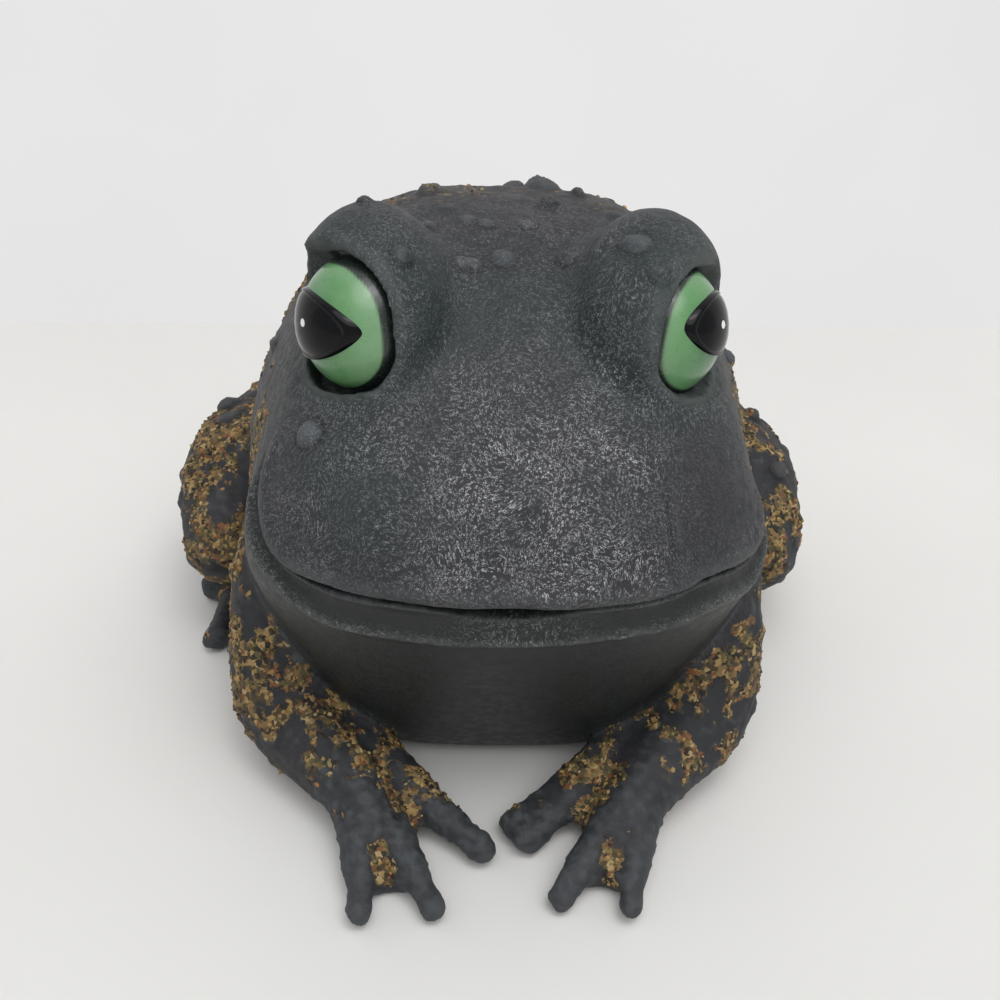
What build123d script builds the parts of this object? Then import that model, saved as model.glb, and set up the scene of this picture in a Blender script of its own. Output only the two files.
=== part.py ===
from build123d import *
from math import cos, radians, sin
import os

# Frog figurine, sitting. Millimetres, +Z up. The face looks along -Y and the
# frog's own left side is +X. The figure stands on z = 0.

# Torso and head, one hollow casting
body_length = 172.0
body_half_width = 64.0
back_height = 127.0
nose_y = -82.0
shell_scale = 0.84
floor_thickness = 6.0

# Brows and eye sockets
brow_half_width = 17.0
brow_half_depth = 20.0
brow_half_height = 21.0
lid_gap = 2.2
lid_set_back = 1.0

# Eyes, glued into their sockets
eye_radius = 14.0
eye_turn = 20.0
eye_back = 8.0
pupil_half_length = 13.4
pupil_half_height = 6.9
pupil_tilt = 10.0
pupil_proud = 0.7
pupil_inlay = 1.2

# Mouth, a gap between the lips
mouth_gap_height = 2.2
lip_scale = 0.87

# Underside: plate in a rebate, vent through it, soft pad below
pad_thickness = 2.0
opening_half_width = 24.0
opening_half_length = 46.0
plate_thickness = 3.0
plate_ledge = 4.0
pad_margin = 2.0
vent_radius = 3.0

# Glued pegs that carry the legs
fit_clearance = 0.3
peg_length = 14.0
shoulder_peg_radius = 5.0
hip_peg_radius = 6.0
boss_wall = 5.0

# Front legs
shoulder_radius = 14.0
elbow_radius = 12.5
wrist_radius = 7.5
hand_length = 30.0
palm_radius = 7.0
finger_radius = 3.3
fingertip_radius = 3.8
web_thickness = 5.0

# Hind legs
thigh_radius = 19.5
knee_radius = 13.0
shank_radius = 8.5
foot_length = 68.0
instep_radius = 6.5
arch_radius = 4.9
toe_radius = 3.3
toe_tip_radius = 3.9
left_foot_tuck = 6.0

# Stations of the torso and head: the place along the body from the nose, then
# the right half of the outline from the middle of the back to the middle of
# the belly, as shares of the body's length, half width and back height.
station_shares = [
    (0.009, [(0.00, 0.632), (0.11, 0.630), (0.20, 0.620), (0.23, 0.606), (0.18, 0.593),
             (0.09, 0.589), (0.00, 0.587)]),
    (0.035, [(0.00, 0.685), (0.27, 0.677), (0.44, 0.646), (0.50, 0.602), (0.42, 0.555),
             (0.22, 0.520), (0.00, 0.508)]),
    (0.081, [(0.00, 0.756), (0.34, 0.744), (0.59, 0.685), (0.70, 0.591), (0.61, 0.480),
             (0.34, 0.394), (0.00, 0.362)]),
    (0.140, [(0.00, 0.823), (0.36, 0.811), (0.67, 0.732), (0.84, 0.571), (0.70, 0.402),
             (0.42, 0.244), (0.00, 0.205)]),
    (0.203, [(0.00, 0.886), (0.39, 0.874), (0.72, 0.764), (0.91, 0.559), (0.80, 0.354),
             (0.53, 0.118), (0.00, 0.047)]),
    (0.302, [(0.00, 0.965), (0.39, 0.957), (0.70, 0.843), (0.91, 0.591), (0.88, 0.354),
             (0.62, 0.071), (0.00, -0.055)]),
    (0.430, [(0.00, 1.008), (0.42, 0.992), (0.73, 0.854), (0.95, 0.591), (0.93, 0.331),
             (0.66, 0.055), (0.00, -0.079)]),
    (0.593, [(0.00, 0.997), (0.45, 0.969), (0.78, 0.795), (1.00, 0.535), (0.95, 0.283),
             (0.66, 0.047), (0.00, -0.079)]),
    (0.756, [(0.00, 0.898), (0.44, 0.854), (0.75, 0.693), (0.94, 0.457), (0.89, 0.244),
             (0.61, 0.047), (0.00, -0.071)]),
    (0.884, [(0.00, 0.701), (0.36, 0.661), (0.61, 0.535), (0.75, 0.362), (0.70, 0.205),
             (0.48, 0.055), (0.00, -0.047)]),
    (0.965, [(0.00, 0.472), (0.23, 0.449), (0.41, 0.370), (0.48, 0.268), (0.44, 0.157),
             (0.30, 0.071), (0.00, 0.024)]),
    (0.997, [(0.00, 0.346), (0.12, 0.335), (0.20, 0.299), (0.23, 0.252), (0.20, 0.201),
             (0.12, 0.165), (0.00, 0.154)]),
]

# Places on the left side: outwards, back from the nose and up, as shares of the
# body's half width, length and back height.
place_shares = {
    "hollow": (0.0, 0.5465, 0.4567),
    "jaw": (0.0, 0.3605, 0.5827),
    "opening": (0.0, 0.5698, 0.0),
    "brow": (0.4688, 0.3256, 0.9291),
    "eye": (0.5, 0.2762, 0.9252),
    "shoulder": (0.7812, 0.3198, 0.3937),
    "shoulder_peg": (0.8594, 0.3198, 0.3937),
    "elbow": (0.7969, 0.2093, 0.1417),
    "wrist": (0.5, 0.064, 0.0827),
    "hip": (0.7188, 0.8488, 0.2953),
    "hip_peg": (0.9375, 0.7093, 0.3307),
    "knee": (1.125, 0.5116, 0.252),
    "ankle": (1.0625, 0.8256, 0.0709),
}

# The line of the mouth seen from the side, from before the nose to the corner:
# shares of the body's length from the nose and of the back's height.
mouth_line_shares = [(-0.050, 0.614), (0.012, 0.603), (0.070, 0.567), (0.128, 0.539),
                     (0.215, 0.528), (0.279, 0.547), (0.314, 0.591)]

# Fingers of each hand, outermost first: the tip outwards and forwards from the
# wrist, then the root outwards, forwards, up and its radius, as shares of the
# hand's length. The two inner fingers spring from the elbow as ridges.
finger_shares = {
    "left": [((-0.10, 0.93), (0.00, -0.07, 0.35, 0.23)), ((-0.67, 0.83), (0.00, -0.07, 0.35, 0.23)),
             ((-0.92, 0.23), (0.42, -0.83, 0.57, 0.30)), ((-1.03, 0.08), (0.35, -0.78, 0.53, 0.27))],
    "right": [((-0.04, 0.98), (0.00, -0.07, 0.35, 0.23)), ((-0.64, 0.92), (0.00, -0.07, 0.35, 0.23)),
              ((-1.03, 0.35), (0.42, -0.83, 0.57, 0.30)), ((-0.83, 0.10), (0.35, -0.78, 0.53, 0.27))],
}

# Toes of the hind foot, outermost first, in the same way from the ankle, as
# shares of the foot's length.
toe_shares = [((0.22, 0.66), (0.05, 0.30, 0.075, 0.072)), ((0.14, 1.00), (0.05, 0.36, 0.075, 0.072)),
              ((-0.02, 0.98), (0.02, 0.36, 0.075, 0.072)), ((-0.14, 0.80), (-0.01, 0.30, 0.075, 0.072))]

# How far the web runs along each digit, outermost first, where a digit's neck
# is along it, and how high its tip lies as a share of the tip's radius.
web_reach_shares = (0.70, 0.66, 0.55, 0.45)
neck_share = 0.8
resting_share = 0.9
tip_round_angle = 120

# Rings that round off a limb: how far on from its last ring, and how narrow,
# as shares of that ring's radius.
round_end_shares = ((0.60, 0.80), (0.93, 0.37))


def place(name):
    """A named place on the left side of the figure."""
    outwards, back, up = place_shares[name]
    return Vector(outwards * body_half_width, nose_y + back * body_length, up * back_height)


def between(one, other):
    """The middle of two places."""
    return (one + other) / 2


def ellipsoid(half_x, half_y, half_z):
    """An ellipsoid about the origin."""
    return scale(Sphere(1), by=(half_x, half_y, half_z))


def scaled_about(form, factor, centre):
    """A copy of a form, made smaller about a point."""
    return Pos(centre) * scale(Pos(-centre) * form, by=factor)


def limb(stations, rounded):
    """A tapering limb through (centre, radius) stations, with round ends where rounded says."""
    last = len(stations) - 1
    rings = []
    for i, (centre, radius) in enumerate(stations):
        along = (stations[min(i + 1, last)][0] - stations[max(i - 1, 0)][0]).normalized()
        rings.append((centre, along, radius))
    for end in rounded:
        centre, along, radius = rings[end]
        outwards = along if end else -along
        for ahead, narrow in round_end_shares:
            ring = (centre + outwards * (ahead * radius), along, narrow * radius)
            rings = rings + [ring] if end else [ring] + rings
    return loft([Plane(origin=centre, z_dir=along) * Circle(radius) for centre, along, radius in rings])


def station_face(station):
    """One closed cross section of the torso and head."""
    behind_nose, outline = station
    points = [(x * body_half_width, z * back_height) for x, z in outline]
    steps = [i / (len(points) - 1) for i in range(len(points))]
    right = Edge.make_spline(points, tangents=[(1, 0), (-1, 0)], parameters=steps)
    left = mirror(right, about=Plane.YZ)
    return Plane.XZ.offset(-nose_y - behind_nose * body_length) * make_face([right, left])


def torso_form():
    """Torso, head and lower jaw as one smooth closed form."""
    return loft([station_face(station) for station in station_shares])


def brow_form():
    """Both brow bulges over the eyes."""
    brow = Pos(place("brow")) * ellipsoid(brow_half_width, brow_half_depth, brow_half_height)
    return brow + mirror(brow, about=Plane.YZ)


def eye_plane():
    """The left eye's centre, looking out along the eye."""
    turn = radians(eye_turn)
    outwards = (cos(turn), -sin(turn), 0)
    backwards = (sin(turn), cos(turn), 0)
    return Plane(origin=place("eye"), x_dir=backwards, z_dir=outwards)


def eye_ball(radius):
    """A ball about the left eye's centre, its seam at the back and its poles beside the pupil."""
    plane = eye_plane()
    return Plane(origin=plane.origin, x_dir=-plane.z_dir, z_dir=plane.x_dir) * Sphere(radius)


def eye_dome(radius, back):
    """A ball about the left eye's centre with a flat back."""
    reach = 2 * radius
    return eye_ball(radius) & (eye_plane().offset(reach / 2 - back) * Box(2 * reach, 2 * reach, reach))


def eye_socket():
    """What the left socket takes from the casting: the eye's seat and the lid's opening."""
    opening = eye_plane().offset(lid_set_back) * Circle(eye_radius + lid_gap)
    seat = eye_dome(eye_radius + fit_clearance, eye_back)
    return seat + extrude(opening, amount=3 * eye_radius)


def pupil_prism():
    """The almond outline of the left pupil, carried out past the eye."""
    upper = ThreePointArc((-pupil_half_length, 0), (0, pupil_half_height), (pupil_half_length, 0))
    lower = ThreePointArc((-pupil_half_length, 0), (0, -pupil_half_height), (pupil_half_length, 0))
    almond = Rot(0, 0, -pupil_tilt) * make_face([upper, lower])
    return extrude(eye_plane() * almond, amount=2 * eye_radius)


def eye_parts():
    """The left eye with its recess, and the pupil inlaid in it."""
    core = eye_ball(eye_radius - pupil_inlay)
    dome = eye_ball(eye_radius + pupil_proud)
    prism = pupil_prism()
    eye = eye_dome(eye_radius, eye_back) - (prism - core)
    pupil = (dome - core) & prism
    return eye, pupil


def mouth_gap(form):
    """The gap between the lips: a thin curved band that stops at the jaw's core."""
    points = [(nose_y + along * body_length, up * back_height) for along, up in mouth_line_shares]
    lower = Plane.YZ * Spline(points)
    upper = Pos(0, 0, mouth_gap_height) * lower
    ends = [Line(lower @ 0, upper @ 0), Line(lower @ 1, upper @ 1)]
    band = extrude(make_face([lower, upper] + ends), amount=2 * body_half_width, both=True)
    return band - scaled_about(form, lip_scale, place("jaw"))


def peg(radius, centre, length):
    """A peg along X, centred on a point."""
    return Pos(centre) * Rot(0, 90, 0) * Cylinder(radius, length)


def oval(extra, low, high):
    """A slab with the underside's oval outline, grown by some width."""
    outline = Ellipse(opening_half_width + extra, opening_half_length + extra)
    return extrude(Pos(0, place("opening").Y, low) * outline, amount=high - low)


def vent():
    """The vent hole through plate and pad, behind the middle."""
    high = pad_thickness + 2 * plate_thickness
    return Pos(0, place("opening").Y + opening_half_length / 2, 0) * Cylinder(vent_radius, 2 * high)


def seats():
    """Radius and place of the left side's two pegs."""
    return [(shoulder_peg_radius, place("shoulder_peg")), (hip_peg_radius, place("hip_peg"))]


def both_sides(form):
    """A left form together with its mirror image."""
    return form + mirror(form, about=Plane.YZ)


def above(level):
    """A block that holds everything above a level."""
    size = 4 * body_length
    return Pos(0, 0, level + size / 2) * Box(size, size, size)


def body_shell(form):
    """The hollow casting of torso, head and lower jaw."""
    skin = (form + brow_form()) & above(pad_thickness)
    hollow = scaled_about(form, shell_scale, place("hollow")) & above(pad_thickness + floor_thickness)
    bosses = None
    holes = None
    for radius, centre in seats():
        boss = peg(radius + boss_wall, centre, peg_length + boss_wall)
        hole = peg(radius + fit_clearance, centre, peg_length + fit_clearance)
        bosses = boss if bosses is None else bosses + boss
        holes = hole if holes is None else holes + hole
    shell = skin - (hollow - both_sides(bosses))
    shell -= both_sides(holes)
    shell -= both_sides(eye_socket())
    shell -= mouth_gap(form)
    shell -= oval(0, 0, pad_thickness + 2 * floor_thickness)
    shell -= oval(plate_ledge, 0, pad_thickness + plate_thickness)
    return shell


def belly_plate():
    """The plate that closes the underside."""
    plate = oval(plate_ledge - fit_clearance, pad_thickness, pad_thickness + plate_thickness)
    return plate - vent()


def base_pad():
    """The soft pad under plate and casting."""
    return oval(plate_ledge + pad_margin, 0, pad_thickness) - vent()


def digit(root, tip, root_radius, neck_radius, tip_radius):
    """One finger or toe that runs down to the ground: a taper turned about its axis, with a round tip."""
    reach = (tip - root).length
    pad = CenterArc((reach - tip_radius, 0), tip_radius, 0, tip_round_angle)
    side = Polyline(pad @ 1, (reach * neck_share, neck_radius), (0, root_radius), (0, 0), pad @ 0)
    turned = revolve(make_face([pad, side]), Axis.X)
    return Plane(origin=root, x_dir=tip - root, z_dir=(tip - root).cross(Vector(0, 0, 1))) * turned


def fan(origin, shares, length, neck_radius, tip_radius, web):
    """The digits of a hand or foot with the web between them."""
    forms = None
    corners = [(origin.X, origin.Y)]
    for (tip_share, root_share), reach in zip(shares, web_reach_shares):
        tip_offset = Vector(tip_share[0], -tip_share[1], 0) * length
        root_offset = Vector(root_share[0], -root_share[1], 0) * length
        tip = Vector(origin.X, origin.Y, tip_radius * resting_share) + tip_offset
        root = Vector(origin.X, origin.Y, root_share[2] * length) + root_offset
        form = digit(root, tip, root_share[3] * length, neck_radius, tip_radius)
        forms = form if forms is None else forms + form
        corner = root + (tip - root) * reach
        corners.append((corner.X, corner.Y))
    return forms + extrude(make_face(Polyline(corners, close=True)), amount=web)


def front_leg(side, form):
    """One front leg with its hand, cut to the casting, with its peg; built on the left."""
    shoulder, elbow, wrist = place("shoulder"), place("elbow"), place("wrist")
    palm = Vector(wrist.X - hand_length / 8, wrist.Y - hand_length / 4, palm_radius)
    leg = limb([
        (shoulder, shoulder_radius),
        (between(shoulder, elbow) + Vector(shoulder_radius / 8, 0, 0), (shoulder_radius + elbow_radius) / 2),
        (elbow, elbow_radius),
        (between(elbow, wrist), (elbow_radius + wrist_radius) / 2),
        (wrist, wrist_radius),
        (palm, palm_radius),
    ], rounded=(0, -1))
    leg += fan(wrist, finger_shares[side], hand_length, finger_radius, fingertip_radius, web_thickness)
    leg = (leg & above(0)) - form
    return leg + peg(shoulder_peg_radius, place("shoulder_peg"), peg_length)


def hind_leg(side, form):
    """One hind leg folded beside the body, with its foot and peg; built on the left."""
    tuck = left_foot_tuck if side == "left" else 0
    hip, knee, ankle = place("hip"), place("knee"), place("ankle")
    swell = Vector(thigh_radius / 4, thigh_radius / 4, thigh_radius / 8)
    thigh = limb([
        (hip, thigh_radius),
        (between(hip, knee) + swell, thigh_radius),
        (knee + Vector(0, knee_radius, knee_radius / 4), (thigh_radius + knee_radius) / 2),
        (knee, knee_radius),
    ], rounded=(0, -1))
    calf = Vector(ankle.X + shank_radius / 2, between(knee, ankle).Y, ankle.Z + shank_radius)
    shank = limb([
        (knee + Vector(0, shank_radius, -knee_radius / 2), shank_radius),
        (calf, shank_radius),
        (ankle, instep_radius + shank_radius / 4),
    ], rounded=(0, -1))
    heel = Vector(ankle.X - tuck / 2, ankle.Y, instep_radius * resting_share)
    arch = Vector(heel.X + instep_radius / 2, heel.Y - foot_length / 2, arch_radius * resting_share)
    foot = digit(heel, arch, instep_radius, arch_radius, arch_radius)
    start = ankle - Vector(tuck, 0, 0)
    foot += fan(start, toe_shares, foot_length, toe_radius, toe_tip_radius, web_thickness)
    leg = (thigh + shank) - form + (foot & above(0))
    return leg + peg(hip_peg_radius, place("hip_peg"), peg_length)


def pieces():
    """Every piece of the figurine by name."""
    form = torso_form()
    eye, pupil = eye_parts()
    named = {"body_shell": body_shell(form), "belly_plate": belly_plate(), "base_pad": base_pad()}
    for side in ("left", "right"):
        made = {
            "front_leg": front_leg(side, form),
            "hind_leg": hind_leg(side, form),
            "eye": eye,
            "pupil": pupil,
        }
        for name, solid in made.items():
            named[f"{name}_{side}"] = solid if side == "left" else mirror(solid, about=Plane.YZ)
    return named


def main():
    """Centre the figurine over the origin and write one file for each piece."""
    named = pieces()
    boxes = [solid.bounding_box() for solid in named.values()]
    middle_y = (min(box.min.Y for box in boxes) + max(box.max.Y for box in boxes)) / 2
    os.makedirs("parts", exist_ok=True)
    for name, solid in named.items():
        export_step(Pos(0, -middle_y, 0) * solid, f"parts/{name}.step")
    print("moved back by", round(middle_y, 3))


main()
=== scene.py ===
"""Looks of the sitting frog figurine, sculpted over its packed castings."""

import logging
import math
from dataclasses import dataclass, field
from enum import Enum
from itertools import product

import bpy
import numpy as np
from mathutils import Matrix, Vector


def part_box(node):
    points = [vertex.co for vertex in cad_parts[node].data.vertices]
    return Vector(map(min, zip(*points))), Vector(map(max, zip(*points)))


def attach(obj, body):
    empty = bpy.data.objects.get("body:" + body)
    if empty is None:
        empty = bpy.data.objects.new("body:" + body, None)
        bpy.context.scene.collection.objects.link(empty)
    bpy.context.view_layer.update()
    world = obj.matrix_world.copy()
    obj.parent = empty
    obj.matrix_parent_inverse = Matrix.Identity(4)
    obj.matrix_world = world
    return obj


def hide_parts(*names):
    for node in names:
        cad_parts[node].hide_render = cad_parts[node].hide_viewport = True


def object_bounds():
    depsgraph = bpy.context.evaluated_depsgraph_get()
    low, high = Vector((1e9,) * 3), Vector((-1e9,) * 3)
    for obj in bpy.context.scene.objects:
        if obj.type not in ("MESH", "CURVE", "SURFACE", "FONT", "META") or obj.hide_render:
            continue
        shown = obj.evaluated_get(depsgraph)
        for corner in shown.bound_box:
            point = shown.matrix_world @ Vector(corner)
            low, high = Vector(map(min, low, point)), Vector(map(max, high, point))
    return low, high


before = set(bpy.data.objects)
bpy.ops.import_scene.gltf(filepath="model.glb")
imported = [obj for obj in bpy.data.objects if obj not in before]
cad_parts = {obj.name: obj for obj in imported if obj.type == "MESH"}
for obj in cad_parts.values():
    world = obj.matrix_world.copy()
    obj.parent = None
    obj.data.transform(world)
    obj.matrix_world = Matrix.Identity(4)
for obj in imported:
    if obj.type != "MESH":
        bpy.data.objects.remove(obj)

import openvdb
from mathutils import Matrix, Vector

LOG = logging.getLogger("frog_figurine")
MM = 0.001
ROOT = "root"
CAD_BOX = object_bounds()
HEAD_HALF_WIDTH, HEAD_BACK, HEAD_BOTTOM = 60.0, -8.0, 58.0
HEAD_SPACING, BODY_SPACING, ARM_SPACING, THIGH_SPACING = 0.93, 1.65, 0.8, 1.0
BODY_SPARE, LEG_SPARE = 3.0, 6.0


class Side(Enum):
    """The frog's own sides, with the direction of each along X."""

    LEFT = ("left", 1)
    RIGHT = ("right", -1)

    def __init__(self, label: str, sign: int) -> None:
        """Keep the side's name and its sign along X."""
        self.label = label
        self.sign = sign


def by_side(left: object, right: object) -> dict:
    """A dataclass field that holds one value for each side of the frog.

    Args:
        left: The value for the frog's left.
        right: The value for the frog's right.

    Returns:
        The field, with a dict of its own for each object.
    """
    return field(default_factory=lambda: {Side.LEFT: left, Side.RIGHT: right})


def smooth_step(values: np.ndarray, low: float, high: float) -> np.ndarray:
    """Rise smoothly from 0 at low to 1 at high.

    Args:
        values: The numbers to rate.
        low: Where the rise starts.
        high: Where it ends.

    Returns:
        A number from 0 to 1 for each value.
    """
    share = np.clip((values - low) / (high - low), 0.0, 1.0)
    return share * share * (3.0 - 2.0 * share)


def bump(values: np.ndarray, middle: float, width: float) -> np.ndarray:
    """A bell of height 1 round a middle value.

    Args:
        values: The numbers to rate.
        middle: Where the bell is highest.
        width: Its spread.

    Returns:
        A number from 0 to 1 for each value.
    """
    return np.exp(-(((values - middle) / width) ** 2))


def joined(one: np.ndarray, other: np.ndarray, fillet: float) -> np.ndarray:
    """The union of two distance fields with a fillet where they meet.

    Args:
        one: Distances to the first form.
        other: Distances to the second form.
        fillet: How wide the blend is.

    Returns:
        Distances to both forms together.
    """
    share = np.clip(0.5 + 0.5 * (other - one) / fillet, 0.0, 1.0)
    return other + (one - other) * share - fillet * share * (1.0 - share)


def carved(form: np.ndarray, tool: np.ndarray, fillet: float) -> np.ndarray:
    """A form with a tool's space taken out of it, its edge rounded.

    Args:
        form: Distances to the form.
        tool: Distances to what is taken out.
        fillet: How wide the rounding is.

    Returns:
        Distances to what is left.
    """
    return -joined(-form, tool, fillet)


def lattice_value(cells: np.ndarray, seed: int) -> np.ndarray:
    """Fixed random numbers for whole-number lattice cells.

    Args:
        cells: Whole coordinates, one row for each cell.
        seed: Which set of numbers.

    Returns:
        A number from 0 to 1 for each row.
    """
    whole = cells.astype(np.int64)
    mixed = whole[:, 0] * 73856093 ^ whole[:, 1] * 19349663 ^ whole[:, 2] * 83492791 ^ seed * 40503
    mixed = ((mixed ^ (mixed >> 13)) * 1274126177) & 0x7FFFFFFF
    mixed = ((mixed ^ (mixed >> 15)) * 668265263) & 0x7FFFFFFF
    return mixed / float(0x7FFFFFFF)


def soft_noise(points: np.ndarray, size: float, seed: int, octaves: int = 1) -> np.ndarray:
    """Smooth noise from -1 to 1.

    Args:
        points: Places in millimetres.
        size: The size of its largest features.
        seed: Which noise.
        octaves: How many halvings of the size are added.

    Returns:
        A number for each place.
    """
    total = np.zeros(len(points))
    weight_sum = 0.0
    for octave in range(octaves):
        scaled = points * (2.0**octave / size)
        cell = np.floor(scaled)
        share = scaled - cell
        share = share * share * (3.0 - 2.0 * share)
        weight = 0.5**octave
        weight_sum += weight
        for corner in product((0, 1), repeat=3):
            step = np.array(corner)
            part = np.where(step, share, 1.0 - share).prod(axis=1)
            total += weight * part * (2.0 * lattice_value(cell + step, seed + octave) - 1.0)
    return total / weight_sum


def cell_lumps(points: np.ndarray, size: float, seed: int) -> np.ndarray:
    """Rounded lumps that stand close together, from 0 between them to 1 on top.

    Args:
        points: Places in millimetres.
        size: How far apart the lumps are.
        seed: Which set of lumps.

    Returns:
        A number for each place.
    """
    scaled = points / size
    cell = np.floor(scaled)
    nearest = np.full(len(points), 9.0)
    for corner in product((-1, 0, 1), repeat=3):
        other = cell + np.array(corner)
        middle = other + np.stack([lattice_value(other, seed + axis) for axis in range(3)], axis=1)
        nearest = np.minimum(nearest, np.linalg.norm(scaled - middle, axis=1))
    return np.clip(1.0 - nearest, 0.0, 1.0)


@dataclass(frozen=True)
class Grid:
    """The places of a field's samples along each axis, in millimetres."""

    x: np.ndarray
    y: np.ndarray
    z: np.ndarray

    def axes(self) -> tuple[np.ndarray, np.ndarray, np.ndarray]:
        """The three lists of places."""
        return self.x, self.y, self.z

    def shape(self) -> tuple[int, ...]:
        """How many samples there are along each axis."""
        return tuple(len(places) for places in self.axes())

    def spread(self) -> tuple[np.ndarray, np.ndarray, np.ndarray]:
        """The three lists, shaped so that they combine to the whole grid."""
        return self.x[:, None, None], self.y[None, :, None], self.z[None, None, :]


def places(stops: list[tuple[float, float]], end: float) -> np.ndarray:
    """Sample places along one axis, closer together where there is fine detail.

    Args:
        stops: Where each stretch starts and the spacing in it.
        end: Where the last stretch ends.

    Returns:
        The places in rising order.
    """
    runs = []
    for index, (start, spacing) in enumerate(stops):
        stop = stops[index + 1][0] if index + 1 < len(stops) else end
        count = max(1, round((stop - start) / spacing))
        runs.append(np.linspace(start, stop, count, endpoint=False))
    return np.append(np.concatenate(runs), end).astype(np.float32)


@dataclass
class Field:
    """Distances in millimetres to a form on a grid, negative inside it."""

    grid: Grid
    values: np.ndarray

    def steps(self, wanted: np.ndarray, axis: int) -> tuple[np.ndarray, np.ndarray]:
        """Find the sample below each wanted place along one axis.

        Args:
            wanted: Places in millimetres.
            axis: 0, 1 or 2.

        Returns:
            The sample's number, and how far on the place is as a share.
        """
        known = self.grid.axes()[axis]
        place = np.interp(wanted, known, np.arange(len(known)))
        low = np.minimum(place.astype(np.int64), len(known) - 2)
        return low, (place - low).astype(np.float32)

    def resampled(self, grid: Grid) -> "Field":
        """The same field on another grid.

        Args:
            grid: The other grid.

        Returns:
            The new field.
        """
        values = self.values
        for axis, wanted in enumerate(grid.axes()):
            low, share = self.steps(wanted, axis)
            shape = [1, 1, 1]
            shape[axis] = -1
            share = share.reshape(shape)
            values = np.take(values, low, axis) * (1 - share) + np.take(values, low + 1, axis) * share
        return Field(grid, values)

    def at(self, points: np.ndarray) -> np.ndarray:
        """The field at any places.

        Args:
            points: Places in millimetres, one row each.

        Returns:
            A distance for each place.
        """
        found = [self.steps(points[:, axis], axis) for axis in range(3)]
        total = np.zeros(len(points), np.float32)
        for corner in product((0, 1), repeat=3):
            weight = np.ones(len(points), np.float32)
            where = []
            for (low, share), step in zip(found, corner):
                weight *= share if step else 1 - share
                where.append(low + step)
            total += weight * self.values[where[0], where[1], where[2]]
        return total

    def blurred(self, cells: float) -> "Field":
        """The field smoothed by a bell a few samples wide.

        Args:
            cells: The bell's spread in samples.

        Returns:
            The smoothed field.
        """
        reach = math.ceil(2.5 * cells)
        kernel = np.exp(-0.5 * (np.arange(-reach, reach + 1) / cells) ** 2)
        kernel = (kernel / kernel.sum()).astype(np.float32)
        values = self.values
        for axis in range(3):
            width = [(0, 0)] * 3
            width[axis] = (reach, reach)
            padded = np.pad(values, width, mode="edge")
            total = np.zeros_like(values)
            for index, weight in enumerate(kernel):
                cut = [slice(None)] * 3
                cut[axis] = slice(index, index + values.shape[axis])
                total += weight * padded[tuple(cut)]
            values = total
        return Field(self.grid, values)

    def surface(self) -> tuple[np.ndarray, np.ndarray]:
        """The form's skin.

        Returns:
            Its points in millimetres and its four-sided faces, which face outwards.
        """
        volume = openvdb.FloatGrid(float(np.abs(self.values).max()))
        volume.copyFromArray(np.ascontiguousarray(self.values, np.float32))
        found, quads = volume.convertToQuads(isovalue=0.0)
        columns = [
            np.interp(found[:, axis], np.arange(len(known)), known)
            for axis, known in enumerate(self.grid.axes())
        ]
        points = np.stack(columns, axis=1)
        a, b, c = (points[quads[:, corner]] for corner in (0, 1, 2))
        if np.einsum("ij,ij->i", a, np.cross(b, c)).sum() < 0:
            quads = quads[:, ::-1]
        return points, quads.astype(np.int32)

    def remeasured(self, reach: float) -> "Field":
        """Measure the distance to the form's own skin again.

        Args:
            reach: How far from the skin it is measured.

        Returns:
            The new field, on the same even grid.
        """
        points, quads = self.surface()
        return measured(points, quads, self.grid, reach)


def measured(points: np.ndarray, faces: np.ndarray, grid: Grid, reach: float) -> Field:
    """Measure the distance to a closed mesh on an even grid.

    Args:
        points: The mesh's points in millimetres.
        faces: Its faces, all three-sided or all four-sided.
        grid: The even grid.
        reach: How far from the mesh it is measured.

    Returns:
        The field, held at reach further off.
    """
    step = float(grid.x[1] - grid.x[0])
    low = np.array([known[0] for known in grid.axes()])
    shape = "triangles" if faces.shape[1] == 3 else "quads"
    level = openvdb.FloatGrid.createLevelSetFromPolygons(
        np.ascontiguousarray((points - low) / step, np.float32),
        transform=openvdb.createLinearTransform(voxelSize=1.0),
        halfWidth=reach / step,
        **{shape: np.ascontiguousarray(faces, np.uint32)},
    )
    values = np.empty(grid.shape(), np.float32)
    level.copyToArray(values)
    return Field(grid, values * step)


def node_field(name: str, grid: Grid, reach: float) -> Field:
    """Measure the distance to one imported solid.

    Args:
        name: The solid's node.
        grid: The even grid.
        reach: How far it is measured.

    Returns:
        The field.
    """
    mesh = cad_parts[name].data
    points = np.empty(len(mesh.vertices) * 3, np.float32)
    mesh.vertices.foreach_get("co", points)
    mesh.calc_loop_triangles()
    faces = np.empty(len(mesh.loop_triangles) * 3, np.int32)
    mesh.loop_triangles.foreach_get("vertices", faces)
    return measured(points.reshape(-1, 3) / MM, faces.reshape(-1, 3), grid, reach)


def filleted(form: Field, radius: float, reach: float) -> Field:
    """Fill a form's inner corners and narrow gaps with a rolling ball's fillet.

    Args:
        form: The form.
        radius: The ball's radius.
        reach: How far the result is measured.

    Returns:
        The filled form.
    """
    points, quads = Field(form.grid, form.values - radius).surface()
    return Field(form.grid, measured(points, quads, form.grid, reach).values + radius)


def filled(form: Field, reach: float) -> Field:
    """Close the hollow of a casting that is open at the bottom only.

    Args:
        form: The hollow form.
        reach: The depth that the filling gets.

    Returns:
        The solid form.
    """
    solid = form.values < 0
    hidden = ~solid
    for axis in (0, 1):
        hidden &= np.maximum.accumulate(solid, axis)
        hidden &= np.flip(np.maximum.accumulate(np.flip(solid, axis), axis), axis)
    hidden &= np.flip(np.maximum.accumulate(np.flip(solid, 2), 2), 2)
    return Field(form.grid, np.where(hidden, np.float32(-reach), form.values))


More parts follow.
